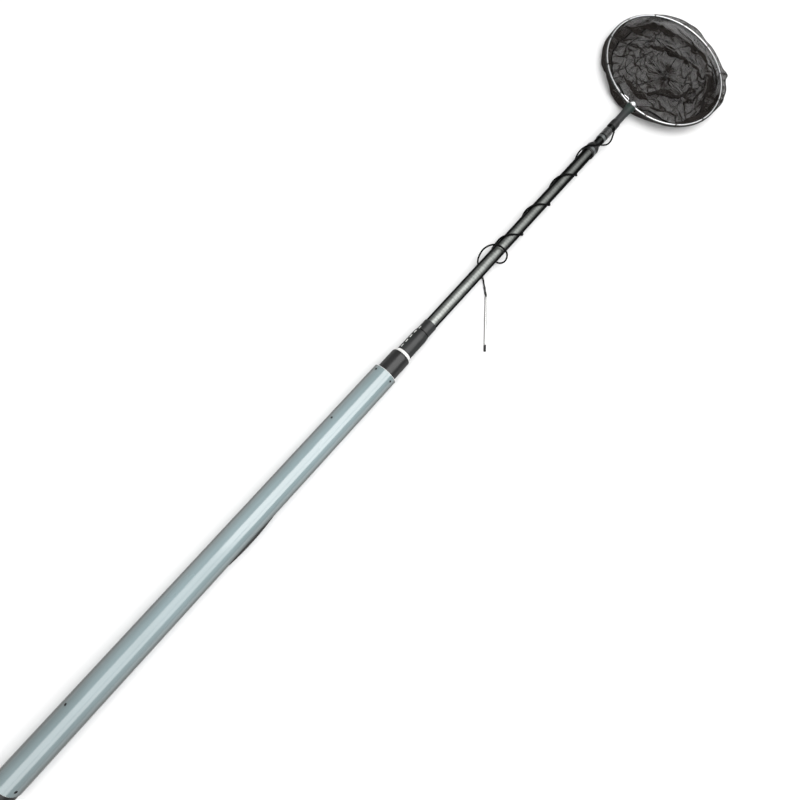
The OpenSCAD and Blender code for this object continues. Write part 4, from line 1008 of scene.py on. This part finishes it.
def pin_bag(bag, rows):
    """The rim stays on the cord, and the toe is led down to where its knot lies."""
    rim = list(range(BAG_SIDES))
    count = len(bag.data.vertices)
    toe = list(range((rows - 2) * BAG_SIDES, count))
    bag.vertex_groups.new(name="pin").add(rim + toe, 1.0, "REPLACE")
    bag.vertex_groups.new(name="toe").add(toe, 1.0, "REPLACE")
    guide = bpy.data.objects.new("toe_guide", None)
    bpy.context.scene.collection.objects.link(guide)
    guide.location = (HOOP_X, 0, -CORD_DROP - BAG_DEPTH)
    bpy.context.view_layer.update()
    hook = bag.modifiers.new("Hook", "HOOK")
    hook.object, hook.vertex_group = guide, "toe"
    hook.matrix_inverse = guide.matrix_world.inverted()
    guide.keyframe_insert("location", frame=1)
    guide.keyframe_insert("scale", frame=1)
    guide.location, guide.scale = TOE, (0.5, 0.5, 1)
    guide.keyframe_insert("location", frame=LAND_FRAME)
    guide.keyframe_insert("scale", frame=LAND_FRAME)
    return guide


def settle_bag(bag, rows):
    """Cloth simulation: the hoop is lowered on to the floor and the bag collapses into folds."""
    scene = bpy.context.scene
    guide = pin_bag(bag, rows)
    props = settle_props()
    cloth = bag.modifiers.new("Cloth", "CLOTH")
    s = cloth.settings
    s.quality, s.mass, s.air_damping = 5, 0.2, 1.0
    s.tension_stiffness, s.compression_stiffness = 30, 25
    s.shear_stiffness, s.bending_stiffness = 6, 0.03
    s.tension_damping = s.compression_damping = s.shear_damping = 5
    s.bending_damping = 0.5
    s.vertex_group_mass, s.pin_stiffness = "pin", 1.0
    c = cloth.collision_settings
    c.use_collision, c.distance_min, c.collision_quality = True, 2.5 * MM, 3
    c.use_self_collision, c.self_distance_min, c.self_friction = True, 1.6 * MM, 4
    cloth.point_cache.frame_start, cloth.point_cache.frame_end = 1, SETTLE_FRAMES
    scene.frame_start, scene.frame_end = 1, SETTLE_FRAMES
    for step in range(1, SETTLE_FRAMES + 1):
        scene.frame_set(step)
    depsgraph = bpy.context.evaluated_depsgraph_get()
    settled = bpy.data.meshes.new_from_object(bag.evaluated_get(depsgraph))
    bag.modifiers.clear()
    bag.data = settled
    bag.vertex_groups.clear()
    scene.frame_set(1)
    for obj in props + [guide]:
        bpy.data.objects.remove(obj)


def tidy_bag(bag):
    """No point goes below the floor or past the space that the frame allows."""
    reach = HOOP_B + 0.026
    for v in bag.data.vertices:
        v.co.z = max(v.co.z, FLOOR_Z + 0.5 * MM)
        v.co.y = max(-reach, min(reach, v.co.y))


def net_bag():
    """The mesh bag, hung from the rim cord and settled on the floor."""
    bag, rows = bag_mesh()
    settle_bag(bag, rows)
    tidy_bag(bag)
    bag.data.polygons.foreach_set("use_smooth", [True] * len(bag.data.polygons))
    finer = bag.modifiers.new("Subdivision", "SUBSURF")
    finer.levels = finer.render_levels = 1
    seat(bag, "net_head", "net_mesh", "net_bag")


KNOT_CENTRE = Vector((TOE.x, TOE.y, KNOT_LOW.z))


def toe_knot():
    """Turns of cord round the gathered toe, with one tail on the floor."""
    turns, steps = 3.2, 22
    path = []
    for i in range(int(turns * steps) + 1):
        turn = TAU * i / steps
        f = i / (turns * steps)
        r = mix(4.6, 3.4, f) * MM
        path.append(KNOT_CENTRE + Vector((r * cos(turn), r * sin(turn), mix(1.2, 5.2, f) * MM)))
    tail = [(3.4, 0, 5.2), (2, 3, 6.2), (-1, 4.5, 5.6), (-5, 6, 3.4), (-9, 9, 1.4), (-14, 10, 0.9), (-20, 14, 0.8)]
    tail = curve([KNOT_CENTRE + Vector(p) * MM for p in tail], 6)
    parts = [sweep_data(line, radius, sides=12, strands=3, lay=4 * MM, groove=0.25)
             for line, radius in ((path, 0.95 * MM), (tail, 0.9 * MM))]
    seat(make_object("toe_knot_cord", *join_data(parts)), "net_head", "cord_black", "toe_knot")


def toe_bunch():
    """The mesh gathered in pleats inside the knot, with a stub above it."""
    profile = [(0, 6.5), (1.0, 4.6), (2.4, 3.5), (4.2, 2.9), (5.6, 2.4), (6.8, 3.2), (7.8, 4.0), (8.3, 3.0),
               (8.4, 0.8)]
    sides, pleat_width = 60, 0.7 * MM
    points = []
    for up, r in profile:
        for k in range(sides):
            turn = TAU * k / sides
            pleat = 1 + 0.14 * sin(15 * turn + up) + 0.06 * sin(7 * turn)
            points.append(KNOT_CENTRE + Vector((r * pleat * cos(turn), r * pleat * sin(turn), up)) * MM)
    faces, uvs = skin([up * MM for up, _ in profile], sides, width=sides * pleat_width)
    seat(make_object("toe_bunch", points, faces, uvs), "net_head", "cord_black", material=THREAD)


# ---- Studio ----------------------------------------------------------------------------------

LIGHT_Z = 1.9


def panel(name, x0, x1, y0, y1, radiance, turn=0.0):
    """A rectangular soft light over the part, facing down."""
    data = bpy.data.lights.new(name, "AREA")
    data.shape = "RECTANGLE"
    data.size, data.size_y = x1 - x0, y1 - y0
    data.energy = radiance * math.pi * data.size * data.size_y
    obj = bpy.data.objects.new(name, data)
    obj.location = ((x0 + x1) / 2, (y0 + y1) / 2, LIGHT_Z)
    obj.rotation_euler = (0, 0, math.radians(turn))
    obj.visible_camera = False
    bpy.context.scene.collection.objects.link(obj)
    return obj


def studio():
    """A pale floor, soft overhead panels with a narrow gap, and even light from all round."""
    half = 6.0
    corners = [(1.2 + sx * half, sy * half, FLOOR_Z - 0.3 * MM) for sx, sy in ((-1, -1), (1, -1), (1, 1), (-1, 1))]
    ground = make_object("studio_floor", corners, [(0, 1, 2, 3)])
    dress(ground, studio_floor_look())
    for name, x0, x1, radiance in (("rear", -2.2, 0.2, 1.35), ("middle", 0.2, 2.6, 2.3), ("front", 2.6, 5.2, 1.3)):
        panel(f"soft_{name}_left", x0, x1, -0.72, 0.72, radiance)
        panel(f"soft_{name}_right", x0, x1, -2.1, -0.80, radiance)
    fill = panel("fill", -2.5, 4.5, 0.9, 4.4, 0.55)
    fill.visible_glossy = False
    world = bpy.data.worlds.new("studio")
    world.use_nodes = True
    background = world.node_tree.nodes["Background"]
    background.inputs["Color"].default_value = (1.0, 1.0, 1.0, 1)
    background.inputs["Strength"].default_value = 0.5
    bpy.context.scene.world = world
    bpy.context.scene.view_settings.view_transform = "Standard"


def camera():
    """A wide lens over the front of the handle, looking a little along the pole."""
    data = bpy.data.cameras.new("camera")
    data.sensor_width, data.lens = 36, 22.14
    data.clip_start, data.clip_end = 0.01, 50
    obj = bpy.data.objects.new("camera", data)
    right = Vector((0.6486, -0.7455, 0.1533)).normalized()
    ahead = Vector((0.230, 0.0, -0.973)).normalized()
    right = (right - ahead * right.dot(ahead)).normalized()
    up = right.cross(ahead)
    turn = Matrix((right, up, -ahead)).transposed().to_4x4()
    place = Matrix.Translation((RIM_X - 0.293, -0.068, FLOOR_Z + 1.1685))
    obj.matrix_world = place @ turn
    bpy.context.scene.collection.objects.link(obj)
    bpy.context.scene.camera = obj


dress_frame()
wound_lead()
probe_lead()
probe_rod()
hoop_wire()
hoop_lashing()
rim_cord()
rim_ties()
hem_stitching()
loose_hem()
tape_wrap()
net_bag()
toe_knot()
toe_bunch()
studio()
camera()
